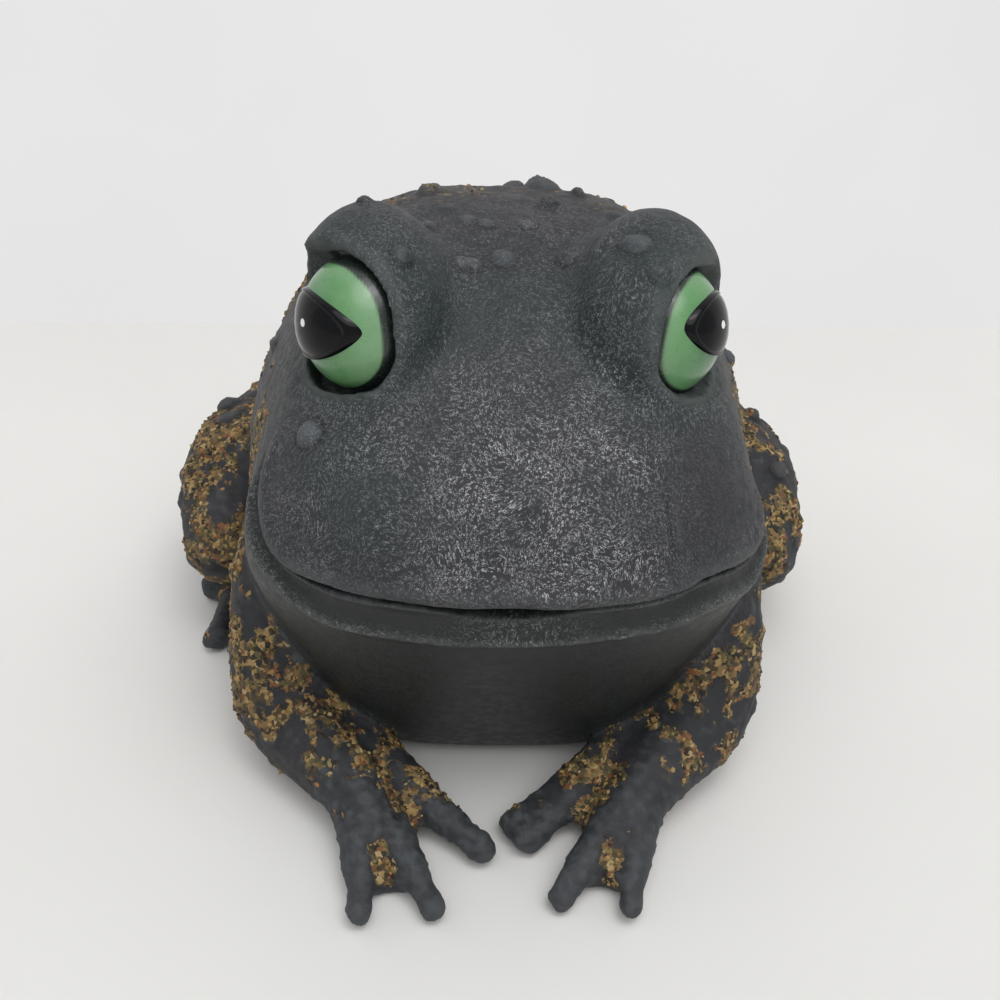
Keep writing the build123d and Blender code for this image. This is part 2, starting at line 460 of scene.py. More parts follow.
@dataclass(frozen=True)
class Wart:
    """One raised lump of the skin: where it is and how large, in millimetres."""

    place: tuple[float, float, float]
    radius: float
    sink: float = 0.2


@dataclass
class EyeSeat:
    """The place and direction of one eye, read from its packed dome, and the lid round it."""

    side: Side
    turn: float = 20.0
    stretch: float = 1.07
    drop: float = 0.8
    lid: float = 3.2
    lip: float = 0.3
    flare: float = 0.8
    front_flare: float = 2.6
    reach: float = 8.5
    grooves: dict[Side, float] = by_side(0.35, 1.2)
    fronts: dict[Side, float] = by_side(4.0, 0.7)
    tops: dict[Side, float] = by_side(2.4, 5.6)
    bottom: float = 6.2
    # Width of the band of painted groove shadow bared under each lid's edge.
    shadow_bands: dict[Side, float] = by_side(0.6, 1.9)
    hoods: dict[Side, float] = by_side(0.0, 1.0)
    hood_out: float = 4.0
    hood_round: float = 2.4
    rim_round: float = 3.0
    rim_blend: float = 3.0
    seat_blend: float = 0.7
    seat_depth: float = 2.0
    top_run: tuple[float, float] = (-17.0, 8.0)
    top_slope: tuple[float, float] = (1.27, 1.1)
    bottom_slope: tuple[float, float] = (1.25, 1.2)
    back_rise: float = 2.0
    back_run: tuple[float, float] = (2.0, 13.0)
    hood_run: tuple[float, float] = (-1.0, 8.0)
    hood_climb: tuple[float, float] = (1.0, 9.0)
    facing_run: tuple[float, float] = (0.1, 0.85)
    reach_climb: tuple[float, float] = (-8.0, 0.0)
    low_reach_share: float = 0.3

    def __post_init__(self) -> None:
        """Find the eye's middle, radius and directions."""
        low, high = (np.array(corner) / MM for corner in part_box(f"eye_{self.side.label}"))
        self.radius = (high[2] - low[2]) / 2
        self.middle = (low + high) / 2
        self.middle[0] = high[0] - self.radius if self.side is Side.LEFT else low[0] + self.radius
        turn = math.radians(self.turn)
        self.outwards = np.array([self.side.sign * math.cos(turn), -math.sin(turn), 0.0])
        self.backwards = np.array([self.side.sign * math.sin(turn), math.cos(turn), 0.0])

    def local(self, x: np.ndarray, y: np.ndarray, z: np.ndarray) -> tuple[np.ndarray, np.ndarray, np.ndarray]:
        """Measure places along the eye's own directions, with its height drawn in to a ball's.

        Args:
            x: Places along X in millimetres.
            y: Places along Y.
            z: Places along Z.

        Returns:
            How far backwards, up and out along the eye.
        """
        dx, dy, dz = x - self.middle[0], y - self.middle[1], z - self.middle[2]
        back = dx * self.backwards[0] + dy * self.backwards[1]
        out = dx * self.outwards[0] + dy * self.outwards[1]
        return back, (dz + self.drop) / self.stretch, out

    def edge(self, back: np.ndarray, up: np.ndarray) -> np.ndarray:
        """How far out the skin meets the eye.

        Args:
            back: How far backwards the place is.
            up: How far up.

        Returns:
            The distance out, larger above and below than in front.
        """
        share = up / self.radius
        slope, most = self.top_slope
        above = self.tops[self.side] * smooth_step(back, *self.top_run)
        above = above * np.clip(slope * share, 0.0, most) ** 2
        slope, most = self.bottom_slope
        below = self.bottom * np.clip(-slope * share, 0.0, most) ** 2
        behind = self.back_rise * smooth_step(back, *self.back_run)
        return self.fronts[self.side] + np.maximum(above, behind) + below

    def sculpt(self, grid: Grid, values: np.ndarray) -> np.ndarray:
        """Give the head a lid round the eye.

        Args:
            grid: Where the samples are.
            values: Distances to the head.

        Returns:
            Distances to the head with the lid.
        """
        x, y, z = grid.spread()
        near = np.nonzero(np.abs(grid.x - self.middle[0]) < 2.2 * self.radius)[0]
        cut = slice(near[0], near[-1] + 1)
        back, up, out = self.local(x[cut], y, z)
        off_axis = np.sqrt(back * back + up * up)
        distance = np.sqrt(off_axis * off_axis + out * out)
        edge = self.edge(back, up) - self.shadow_bands[self.side]
        hood = self.hoods[self.side] * smooth_step(back, *self.hood_run) * smooth_step(up, *self.hood_climb)
        lid = self.radius + self.lid + self.hood_round * hood
        rim = carved(distance - lid, edge + self.lip + self.hood_out * hood - out, self.rim_round)
        facing = smooth_step((0.44 * up - 0.9 * back) / np.maximum(off_axis, 1.0), *self.facing_run)
        flare = self.flare + self.front_flare * facing
        ball = self.radius + self.grooves[self.side]
        mouth = np.sqrt(np.maximum(ball * ball - edge * edge, 1.0))
        cone = (off_axis - mouth - flare * (out - edge)) / np.sqrt(1.0 + flare * flare)
        climb = smooth_step(up, *self.reach_climb)
        reach = self.reach * (self.low_reach_share + (1.0 - self.low_reach_share) * climb)
        cone = np.maximum(np.maximum(cone, edge - out), distance - self.radius - reach)
        seat = np.maximum(np.minimum(distance - ball, cone), edge - self.seat_depth - out)
        part = joined(values[cut], rim.astype(np.float32), self.rim_blend)
        values[cut] = carved(part, seat.astype(np.float32), self.seat_blend)
        return values


@dataclass
class Mouth:
    """The mouth's line seen from each side, and the lips above and below it, in millimetres."""

    lines: dict[Side, tuple[tuple[float, float], ...]] = by_side(
        left=(
            (-85.0, 76.6), (-73.0, 75.8), (-69.0, 76.8), (-66.0, 77.8), (-62.0, 77.2), (-58.0, 75.8),
            (-52.0, 74.2), (-47.0, 75.0), (-42.0, 77.4), (-36.0, 81.5),
        ),
        right=(
            (-85.0, 76.6), (-73.0, 75.8), (-68.0, 76.2), (-63.0, 75.4), (-60.0, 75.4), (-57.0, 76.2),
            (-54.0, 78.0), (-50.0, 80.6), (-46.0, 83.2), (-42.0, 86.6), (-37.0, 91.0),
        ),
    )
    ridges: dict[Side, tuple[tuple[float, float], ...]] = by_side(
        left=(
            (-72.0, -12.2), (-69.0, -9.4), (-66.5, -8.2), (-62.0, -8.2), (-54.0, -9.0),
            (-46.0, -7.0), (-38.0, -5.0),
        ),
        right=(
            (-72.0, -12.2), (-66.6, -10.8), (-62.8, -8.0), (-57.0, -6.0), (-50.0, -5.0),
            (-40.0, -4.5),
        ),
    )
    blend: float = 15.0
    gap: float = 1.4
    middle_gap: float = 4.6
    middle_width: float = 17.0
    depth: float = 6.0
    corner: float = -37.0
    corner_run: tuple[float, float] = (-6.0, 2.0)
    upper_lip: tuple[float, float] = (3.0, 2.6)
    lip_hollow: float = 1.5
    hollow_shares: tuple[float, float] = (0.45, -0.28)
    ridge_swell: float = 1.4
    ridge_width: float = 1.9
    behind_corner: float = 0.4
    edge_blend: float = 0.6

    def from_sides(self, tables: dict[Side, tuple], x: np.ndarray, y: np.ndarray) -> np.ndarray:
        """Read a table along Y on each side and blend the two over the middle.

        Args:
            tables: Pairs of place along Y and value, for each side.
            x: Places along X.
            y: Places along Y.

        Returns:
            The blended values.
        """
        found = {side: np.interp(y, *zip(*rows)) for side, rows in tables.items()}
        share = smooth_step(x, -self.blend, self.blend)
        return found[Side.RIGHT] * (1.0 - share) + found[Side.LEFT] * share

    def height(self, x: np.ndarray, y: np.ndarray) -> np.ndarray:
        """The height of the mouth's line."""
        return self.from_sides(self.lines, x, y)

    def ridge_drop(self, x: np.ndarray, y: np.ndarray) -> np.ndarray:
        """How far the lower lip's ridge lies under the line, as a negative number."""
        return self.from_sides(self.ridges, x, y)

    def sculpt(self, grid: Grid, values: np.ndarray) -> np.ndarray:
        """Shape the lips and open the gap between them.

        Args:
            grid: Where the samples are.
            values: Distances to the head.

        Returns:
            Distances to the head with its mouth.
        """
        x, y, z = grid.spread()
        above = z - self.height(x, y)
        front = 1.0 - smooth_step(y, *(self.corner + step for step in self.corner_run))
        drop = self.ridge_drop(x, y)
        middle, width = (share * drop for share in self.hollow_shares)
        swell = bump(above, *self.upper_lip) - self.lip_hollow * bump(above, middle, width)
        swell = swell + self.ridge_swell * bump(above - drop, 0.0, self.ridge_width)
        values = values - (swell * front).astype(np.float32)
        gap = (self.gap + self.middle_gap * bump(x, 0.0, self.middle_width)) * front
        gap = gap - self.behind_corner * (1.0 - front)
        slit = np.maximum(np.abs(above + 0.5 * gap) - 0.5 * gap, -(values + self.depth))
        return carved(values, slit.astype(np.float32), self.edge_blend)


@dataclass
class Sculpture:
    """The whole figure as one distance field, and the fields that tell its castings apart."""

    step: float = 1.0
    margin: float = 12.0
    head_fillet: float = 7.0
    hand_fillet: float = 1.9
    belly_round: float = 9.0
    limb_fillet: float = 4.5
    shell_reach: float = 4.0
    solid_reach: float = 10.0
    outside: float = 9.0
    head_reach: float = 12.0
    limb_reach: float = 7.0
    softening: float = 0.9
    legs: tuple[str, ...] = ("front_leg_left", "front_leg_right", "hind_leg_left", "hind_leg_right")

    def __post_init__(self) -> None:
        """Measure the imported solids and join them."""
        low, high = (np.array(corner) / MM for corner in CAD_BOX)
        starts, ends = np.floor(low - self.margin), np.ceil(high + self.margin) + self.step
        axes = [np.arange(start, end, self.step, np.float32) for start, end in zip(starts, ends)]
        self.grid = Grid(*axes)
        self.seats = {side: EyeSeat(side) for side in Side}
        self.mouth = Mouth()
        body = node_field("body_shell", self.grid, self.shell_reach).values
        self.plate = node_field("belly_plate", self.grid, self.shell_reach)
        body = np.minimum(body, self.plate.values)
        x, y, z = self.grid.spread()
        for seat in self.seats.values():
            dx, dy, dz = x - seat.middle[0], y - seat.middle[1], z - seat.middle[2]
            ball = np.sqrt(dx * dx + dy * dy + dz * dz) - seat.radius
            body = np.minimum(body, ball.astype(np.float32))
        solid = filled(Field(self.grid, body), self.shell_reach)
        beyond = solid.values >= self.shell_reach
        solid.values = np.where(beyond, np.float32(self.outside), solid.values)
        solid = solid.remeasured(self.solid_reach)
        self.head = self.rounded_below(filleted(solid, self.head_fillet, self.head_reach))
        self.leg_fields: dict[str, Field] = {}
        for name in self.legs:
            raw = node_field(name, self.grid, self.limb_reach)
            self.leg_fields[name] = filleted(raw, self.hand_fillet, self.limb_reach)
        nearest = np.minimum.reduce([form.values for form in self.leg_fields.values()])
        whole = joined(self.head.values, nearest, self.limb_fillet)
        self.whole = Field(self.grid, whole).blurred(self.softening)
        self.nearest_leg = Field(self.grid, nearest)
        LOG.info("sculpture measured on %s samples", self.grid.shape())

    def rounded_below(self, form: Field) -> Field:
        """Round the edge where the belly meets the underside.

        Args:
            form: The figure's body.

        Returns:
            The body with its lower edge rounded.
        """
        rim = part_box("body_shell")[0][2] / MM
        level = int(np.searchsorted(self.grid.z, rim + self.belly_round))
        wall = np.maximum(form.values[:, :, level : level + 1] + self.belly_round, 0.0)
        drop = np.maximum(rim + self.belly_round - self.grid.z[None, None, :], 0.0)
        curved = (np.hypot(wall, drop) - self.belly_round).astype(np.float32)
        low = self.grid.z < rim + self.belly_round
        rounded = np.maximum(curved, form.values)
        return Field(self.grid, np.where(low[None, None, :], rounded, form.values))


@dataclass(frozen=True)
class Wash:
    """Where the paint, the grit, the painted shade and the painted highlights go, from a point's place alone.
    """

    face: tuple[float, float, float] = (6.0, -62.0, 95.0)
    face_squash: tuple[float, float, float] = (1.0, 1.0, 1.15)
    face_reach: float = 29.0
    thinnest: float = 0.27
    bands: tuple[tuple[float, float, float], ...] = ((17.5, 5.0, 0.4), (-7.0, 6.0, 0.28))
    band_foot: tuple[float, float] = (78.0, 86.0)
    band_top: tuple[float, float] = (112.0, 122.0)
    band_back: tuple[float, float] = (-50.0, -38.0)
    side_run: tuple[float, float] = (29.0, 37.0)
    back_run: tuple[float, float] = (-5.0, 30.0)
    front_run: tuple[float, float] = (-44.0, -34.0)
    throat_run: tuple[float, float] = (1.0, 4.0)
    belly_run: tuple[float, float] = (-36.0, -18.0)
    belly_back: tuple[float, float] = (20.0, 60.0)
    under_run: tuple[float, float] = (6.0, 16.0)
    under_back: tuple[float, float] = (-34.0, -12.0)
    lip_strip: tuple[float, float] = (1.8, 2.0)
    # Strips of painted highlight on the upper lip's edge and the lower lip's ridge.
    lip_highlight_strip: tuple[float, float] = (0.35, 0.6)
    ridge_highlight_strip: tuple[float, float] = (0.4, 1.5)
    # Strip of painted shadow in the mouth's gap and under the upper lip.
    mouth_shadow_strip: tuple[float, float] = (-2.0, 1.9)
    mouth_shadow_middle: tuple[float, float] = (3.0, 19.0)
    speckle_across: tuple[float, float] = (2.0, 14.0)
    speckle_height: tuple[float, float] = (-8.0, 3.5)
    halo: float = 9.0
    patch_size: float = 12.0
    fine_size: float = 4.0
    mouth: Mouth = field(default_factory=Mouth)

    def shade(self, points: np.ndarray, above: np.ndarray, skin: np.ndarray) -> np.ndarray:
        """Rate the painted shade on the throat, the belly and under the chin.

        Args:
            points: Places in millimetres.
            above: How far each lies above the mouth's line.
            skin: 1 on the body, 0 on a leg.

        Returns:
            A number from 0 to 1 for each point.
        """
        y, z = points[:, 1], points[:, 2]
        front = 1.0 - smooth_step(y, *self.front_run)
        # Painted shade: the lower front below the mouth, which faces down, is darkened.
        throat = front * smooth_step(-above, *self.throat_run) * skin
        belly = smooth_step(-z, *self.belly_run) * (1.0 - smooth_step(y, *self.belly_back)) * skin
        under = smooth_step(-above, *self.under_run) * (1.0 - smooth_step(y, *self.under_back)) * skin
        return np.clip(np.maximum.reduce([throat, belly, under]), 0.0, 1.0)

    def brush(
        self, points: np.ndarray, above: np.ndarray, shade: np.ndarray, leg_share: np.ndarray
    ) -> np.ndarray:
        """Rate the pale dry brushing, strongest on the face, with painted highlights along the upper lip's
        edge and the lower lip's ridge.

        Args:
            points: Places in millimetres.
            above: How far each lies above the mouth's line.
            shade: Where the painted shade lies.
            leg_share: 1 on a leg, 0 on the body.

        Returns:
            A number for each point, about 0 to 1.
        """
        x, y, z = points.T
        front = 1.0 - smooth_step(y, *self.front_run)
        off = np.linalg.norm((points - np.array(self.face)) * np.array(self.face_squash), axis=1)
        brush = self.thinnest + (1.0 - self.thinnest) * np.exp(-((off / self.face_reach) ** 2))
        level = smooth_step(z, *self.band_foot) * (1.0 - smooth_step(z, *self.band_top))
        level = level * (1.0 - smooth_step(y, *self.band_back))
        for middle, width, strength in self.bands:
            brush = brush + strength * bump(x, middle, width) * level
        brush = brush * (1.0 - 0.72 * smooth_step(x, *self.side_run) * level)
        brush = brush * (1.0 - 0.45 * bump(above, *self.lip_strip) * front)
        # The pale strokes fade where the painted shade lies.
        brush = brush * (1.0 - 0.93 * shade) * (1.0 - 0.9 * leg_share)
        brush = brush * (1.0 - 0.6 * smooth_step(y, *self.back_run))
        # Painted highlight on the lower lip's ridge and the upper lip's edge, where light from above catches.
        ridge = bump(above - self.mouth.ridge_drop(x, y), *self.ridge_highlight_strip) * front * (1.0 - leg_share)
        speckle = bump(x, *self.speckle_across) * bump(above, *self.speckle_height) * front
        edge = bump(above, *self.lip_highlight_strip) * front
        return np.maximum.reduce([brush, 0.5 * ridge, 0.55 * speckle, 0.55 * edge])

    def round_eyes(self, points: np.ndarray, seats: dict[Side, EyeSeat]) -> tuple[np.ndarray, np.ndarray]:
        """Rate the teal tint round the eyes and the dark inside of the lids.

        Args:
            points: Places in millimetres.
            seats: The two eyes.

        Returns:
            Two numbers from 0 to 1 for each point.
        """
        teal = np.zeros(len(points))
        lid = np.zeros(len(points))
        for seat in seats.values():
            back, up, out = seat.local(*points.T)
            distance = np.hypot(np.hypot(back, up), out)
            teal = np.maximum(teal, 0.62 * np.exp(-(((distance - seat.radius) / self.halo) ** 2)))
            wall = smooth_step(seat.radius + seat.lid + 1.6 - distance, 0.0, 1.2)
            wall = wall * smooth_step(out - seat.edge(back, up), -0.4, 0.6)
            lid = np.maximum(lid, wall)
        return teal, lid

    def grit(self, points: np.ndarray, shade: np.ndarray, leg_share: np.ndarray) -> np.ndarray:
        """Rate where grit sticks: on the legs, behind the cheeks and over the back.

        Args:
            points: Places in millimetres.
            shade: Where the painted shade lies.
            leg_share: 1 on a leg, 0 on the body.

        Returns:
            A number from 0 to 1 for each point.
        """
        x, y, z = points.T
        patch = 0.5 + 0.5 * soft_noise(points, self.patch_size, 11, 2)
        fine = 0.5 + 0.5 * soft_noise(points, self.fine_size, 17, 2)
        arm = leg_share * (1.0 - smooth_step(z, 48.0, 62.0) * 0.3)
        cheek = smooth_step(np.abs(x), 50.0, 56.0) * bump(y, -14.0, 15.0) * smooth_step(z, 24.0, 50.0)
        behind = smooth_step(y, -4.0, 22.0) * (0.42 + 0.42 * smooth_step(np.abs(x), 16.0, 46.0))
        base = np.maximum.reduce([arm, cheek * (1.0 - shade), behind * (1.0 - leg_share)])
        clumps = smooth_step(0.55 * patch + 0.45 * fine, 0.38, 0.60)
        return np.clip(base * clumps * smooth_step(z, 0.5, 3.0), 0.0, 1.0)

    def masks(
        self, points: np.ndarray, leg_share: np.ndarray, seats: dict[Side, EyeSeat]
    ) -> dict[str, np.ndarray]:
        """Rate every point for each kind of paint, painted shade and painted highlight.

        Args:
            points: Places in millimetres.
            leg_share: 1 on a leg, 0 on the body, between them at a joint.
            seats: The two eyes.

        Returns:
            A number from 0 to 1 for each point, by the name of the paint.
        """
        x, y, z = points.T
        above = z - self.mouth.height(x, y)
        front = 1.0 - smooth_step(y, *self.front_run)
        skin = 1.0 - leg_share
        shade = self.shade(points, above, skin)
        brush = self.brush(points, above, shade, leg_share)
        # Painted shadow in the mouth's gap and under the upper lip.
        line = bump(above, *self.mouth_shadow_strip) * (0.25 + 0.75 * bump(x, *self.mouth_shadow_middle)) * front * skin
        teal, lid = self.round_eyes(points, seats)
        teal = np.maximum(teal, 0.35 * bump(z, 121.0, 10.0) * (1.0 - smooth_step(y, -20.0, 0.0)))
        teal = np.maximum(teal, 0.45 * bump(x, -33.0, 14.0) * bump(z, 96.0, 12.0) * front)
        return {
            "brush": np.clip(brush, 0.0, 1.0) * (1.0 - lid),
            "shade": shade,
            "line": line,
            "teal": np.clip(teal, 0.0, 1.0) * skin,
            "lid": lid,
            "grit": self.grit(points, shade, leg_share),
        }


def vertex_normals(points: np.ndarray, quads: np.ndarray) -> np.ndarray:
    """The direction that each point of a mesh faces.

    Args:
        points: The mesh's points.
        quads: Its four-sided faces.

    Returns:
        A unit vector for each point.
    """
    cross = np.cross(points[quads[:, 2]] - points[quads[:, 0]], points[quads[:, 3]] - points[quads[:, 1]])
    total = np.zeros_like(points)
    for corner, axis in product(range(4), range(3)):
        total[:, axis] += np.bincount(quads[:, corner], cross[:, axis], len(points))
    return total / np.maximum(np.linalg.norm(total, axis=1, keepdims=True), 1e-9)


def relaxed(points: np.ndarray, quads: np.ndarray, rounds: int) -> np.ndarray:
    """A mesh's points after each has moved to its neighbours' middle some times.

    Args:
        points: The mesh's points.
        quads: Its four-sided faces.
        rounds: How many times.

    Returns:
        The new points.
    """
    ends = np.concatenate([quads[:, [0, 1]], quads[:, [1, 2]], quads[:, [2, 3]], quads[:, [3, 0]]])
    count = np.maximum(np.bincount(ends[:, 0], minlength=len(points)), 1)
    for _ in range(rounds):
        moved = [np.bincount(ends[:, 0], points[ends[:, 1], axis], len(points)) / count for axis in range(3)]
        points = 0.5 * points + 0.5 * np.stack(moved, axis=1)
    return points


def new_piece(name: str, points: np.ndarray, faces: list | np.ndarray) -> bpy.types.Object:
    """Make a smooth-shaded object from points in millimetres.

    Args:
        name: The piece's name.
        points: Its points.
        faces: Its faces.

    Returns:
        The new object, at the origin.
    """
    mesh = bpy.data.meshes.new(name)
    if isinstance(faces, np.ndarray):
        mesh.vertices.add(len(points))
        mesh.vertices.foreach_set("co", (points * MM).astype(np.float32).ravel())
        mesh.loops.add(faces.size)
        mesh.loops.foreach_set("vertex_index", faces.astype(np.int32).ravel())
        mesh.polygons.add(len(faces))
        mesh.polygons.foreach_set("loop_start", np.arange(0, faces.size, faces.shape[1], dtype=np.int32))
        mesh.update(calc_edges=True)
    else:
        mesh.from_pydata((points * MM).tolist(), [], faces)
    mesh.polygons.foreach_set("use_smooth", np.ones(len(mesh.polygons), bool))
    mesh.validate()
    piece = bpy.data.objects.new(name, mesh)
    bpy.context.scene.collection.objects.link(piece)
    return piece


def store(piece: bpy.types.Object, name: str, values: np.ndarray) -> None:
    """Keep one number for each point of a piece, for its material.

    Args:
        piece: The piece.
        name: The attribute's name.
        values: The numbers.
    """
    attribute = piece.data.attributes.new(name, "FLOAT", "POINT")
    attribute.data.foreach_set("value", np.asarray(values, np.float32))


class Graph:
    """A node tree that is wired up call by call."""

    def __init__(self, tree: bpy.types.NodeTree) -> None:
        """Start with an empty tree."""
        self.tree = tree
        tree.nodes.clear()

    def add(self, kind: str, inputs: dict | None = None, **settings: object) -> bpy.types.Node:
        """Add a node.

        Args:
            kind: The node's type.
            inputs: What goes into its sockets, by name or number: a socket or a plain value.
            **settings: The node's own settings.

        Returns:
            The node.
        """
        node = self.tree.nodes.new(kind)
        for name, value in settings.items():
            setattr(node, name, value)
        for key, value in (inputs or {}).items():
            if isinstance(value, bpy.types.NodeSocket):
                self.tree.links.new(value, node.inputs[key])
            else:
                node.inputs[key].default_value = value
        return node

    def feed(self, node: bpy.types.Node, socket: str, value: bpy.types.NodeSocket) -> None:
        """Wire a value into a node's socket."""
        self.tree.links.new(value, node.inputs[socket])

    def math(
        self, operation: str, one: object, other: object = 0.0, clamp: bool = False
    ) -> bpy.types.NodeSocket:
        """Combine two numbers."""
        node = self.add("ShaderNodeMath", {0: one, 1: other}, operation=operation, use_clamp=clamp)
        return node.outputs[0]

    def times(self, one: object, other: object, clamp: bool = False) -> bpy.types.NodeSocket:
        """Multiply two numbers."""
        return self.math("MULTIPLY", one, other, clamp)

    def plus(self, one: object, other: object) -> bpy.types.NodeSocket:
        """Add two numbers."""
        return self.math("ADD", one, other)

    def vector(self, operation: str, one: object, other: object) -> bpy.types.NodeSocket:
        """Combine two vectors."""
        return self.add("ShaderNodeVectorMath", {0: one, 1: other}, operation=operation).outputs[0]

    def rise(
        self, value: bpy.types.NodeSocket, low: float, high: float, top: float = 1.0
    ) -> bpy.types.NodeSocket:
        """Rise smoothly from 0 to top between two values, or fall where low is the larger.

        Args:
            value: The value that is rated.
            low: Where the result is 0.
            high: Where the result is top.
            top: The largest result.

        Returns:
            The result.
        """
        inputs = {"Value": value, "From Min": low, "From Max": high, "To Min": 0.0, "To Max": top}
        if low > high:
            inputs.update({"From Min": high, "From Max": low, "To Min": top, "To Max": 0.0})
        return self.add("ShaderNodeMapRange", inputs, interpolation_type="SMOOTHSTEP").outputs[0]

    def blend(self, share: object, one: object, other: object) -> bpy.types.NodeSocket:
        """Mix two colours."""
        node = self.add("ShaderNodeMix", {0: share, 6: one, 7: other}, data_type="RGBA")
        return node.outputs[2]

    def noise(self, vector: object, scale: object, detail: float = 2.0, twist: float = 0.0) -> bpy.types.Node:
        """A noise texture."""
        inputs = {"Vector": vector, "Scale": scale, "Detail": detail, "Distortion": twist}
        return self.add("ShaderNodeTexNoise", inputs)

    def cloud(
        self, vector: object, scale: object, detail: float = 2.0, twist: float = 0.0
    ) -> bpy.types.NodeSocket:
        """The number that a noise texture gives."""
        return self.noise(vector, scale, detail, twist).outputs["Fac"]

    def value_of(self, name: str) -> bpy.types.NodeSocket:
        """A number kept on the mesh."""
        return self.add("ShaderNodeAttribute", attribute_name=name).outputs["Fac"]

    def place(self) -> bpy.types.NodeSocket:
        """Object coordinates."""
        return self.add("ShaderNodeTexCoord").outputs["Object"]


def tint(red: float, green: float, blue: float) -> tuple[float, float, float, float]:
    """A screen colour from 0 to 255 as the shader takes it.

    Args:
        red: Red on screen.
        green: Green on screen.
        blue: Blue on screen.

    Returns:
        The linear colour.
    """
    shares = [part / 255.0 for part in (red, green, blue)]
    linear = [part / 12.92 if part < 0.04045 else ((part + 0.055) / 1.055) ** 2.4 for part in shares]
    return linear[0], linear[1], linear[2], 1.0


def shader_group(
    name: str, inputs: dict[str, tuple[str, object]], outputs: dict[str, str]
) -> bpy.types.NodeTree:
    """Start a shader node group with named sockets.

    Args:
        name: The group's name.
        inputs: Socket type and starting value by name.
        outputs: Socket type by name.

    Returns:
        The empty group.
    """
    tree = bpy.data.node_groups.new(name, "ShaderNodeTree")
    for label, (kind, value) in inputs.items():
        socket = tree.interface.new_socket(label, in_out="INPUT", socket_type=kind)
        if value is not None:
            socket.default_value = value
    for label, kind in outputs.items():
        tree.interface.new_socket(label, in_out="OUTPUT", socket_type=kind)
    return tree


def dry_brush_group() -> bpy.types.NodeTree:
    """Fine squiggly strokes of pale paint caught on a textured skin.

    Returns:
        The group, with Vector, Pitch and Turns in, and Mask and Height out.
    """
    tree = shader_group(
        "dry_brush",
        {
            "Vector": ("NodeSocketVector", None), "Pitch": ("NodeSocketFloat", 2500.0),
            "Turns": ("NodeSocketFloat", 75.0),
        },
        {"Mask": "NodeSocketFloat", "Height": "NodeSocketFloat"},
    )
    graph = Graph(tree)
    given = graph.add("NodeGroupInput")
    slow = graph.noise(given.outputs["Vector"], given.outputs["Turns"], 1.0)
    shift = graph.vector("SUBTRACT", slow.outputs["Color"], (0.5, 0.5, 0.5))
    shift = graph.vector("MULTIPLY", shift, (0.011, 0.011, 0.011))
    bent = graph.vector("ADD", given.outputs["Vector"], shift)
    drawn = graph.vector("MULTIPLY", bent, (1.0, 1.0, 0.55))
    lines = graph.noise(drawn, given.outputs["Pitch"], 1.0, 0.6)
    off = graph.math("ABSOLUTE", graph.math("SUBTRACT", lines.outputs["Fac"], 0.52))
    stroke = graph.rise(off, 0.05, 0.008)
    broken = graph.rise(graph.cloud(bent, graph.times(given.outputs["Pitch"], 0.55), 1.0), 0.40, 0.56)
    mask = graph.times(stroke, broken)
    grain = graph.times(graph.cloud(bent, graph.times(given.outputs["Pitch"], 1.7), 1.0), 0.35)
    height = graph.plus(graph.times(mask, 0.8), grain)
    graph.add("NodeGroupOutput", {"Mask": mask, "Height": height})
    return tree


def mottle_group() -> bpy.types.NodeTree:
    """Uneven washes of paint in two sizes.

    Returns:
        The group, with Vector and Size in, and Broad and Fine out.
    """
    tree = shader_group(
        "mottled_wash",
        {"Vector": ("NodeSocketVector", None), "Size": ("NodeSocketFloat", 70.0)},
        {"Broad": "NodeSocketFloat", "Fine": "NodeSocketFloat"},
    )
    graph = Graph(tree)
    given = graph.add("NodeGroupInput")
    broad = graph.cloud(given.outputs["Vector"], given.outputs["Size"], 3.0, 0.4)
    fine = graph.cloud(given.outputs["Vector"], graph.times(given.outputs["Size"], 6.0), 4.0, 0.3)
    graph.add("NodeGroupOutput", {"Broad": graph.rise(broad, 0.3, 0.7), "Fine": graph.rise(fine, 0.3, 0.7)})
    return tree


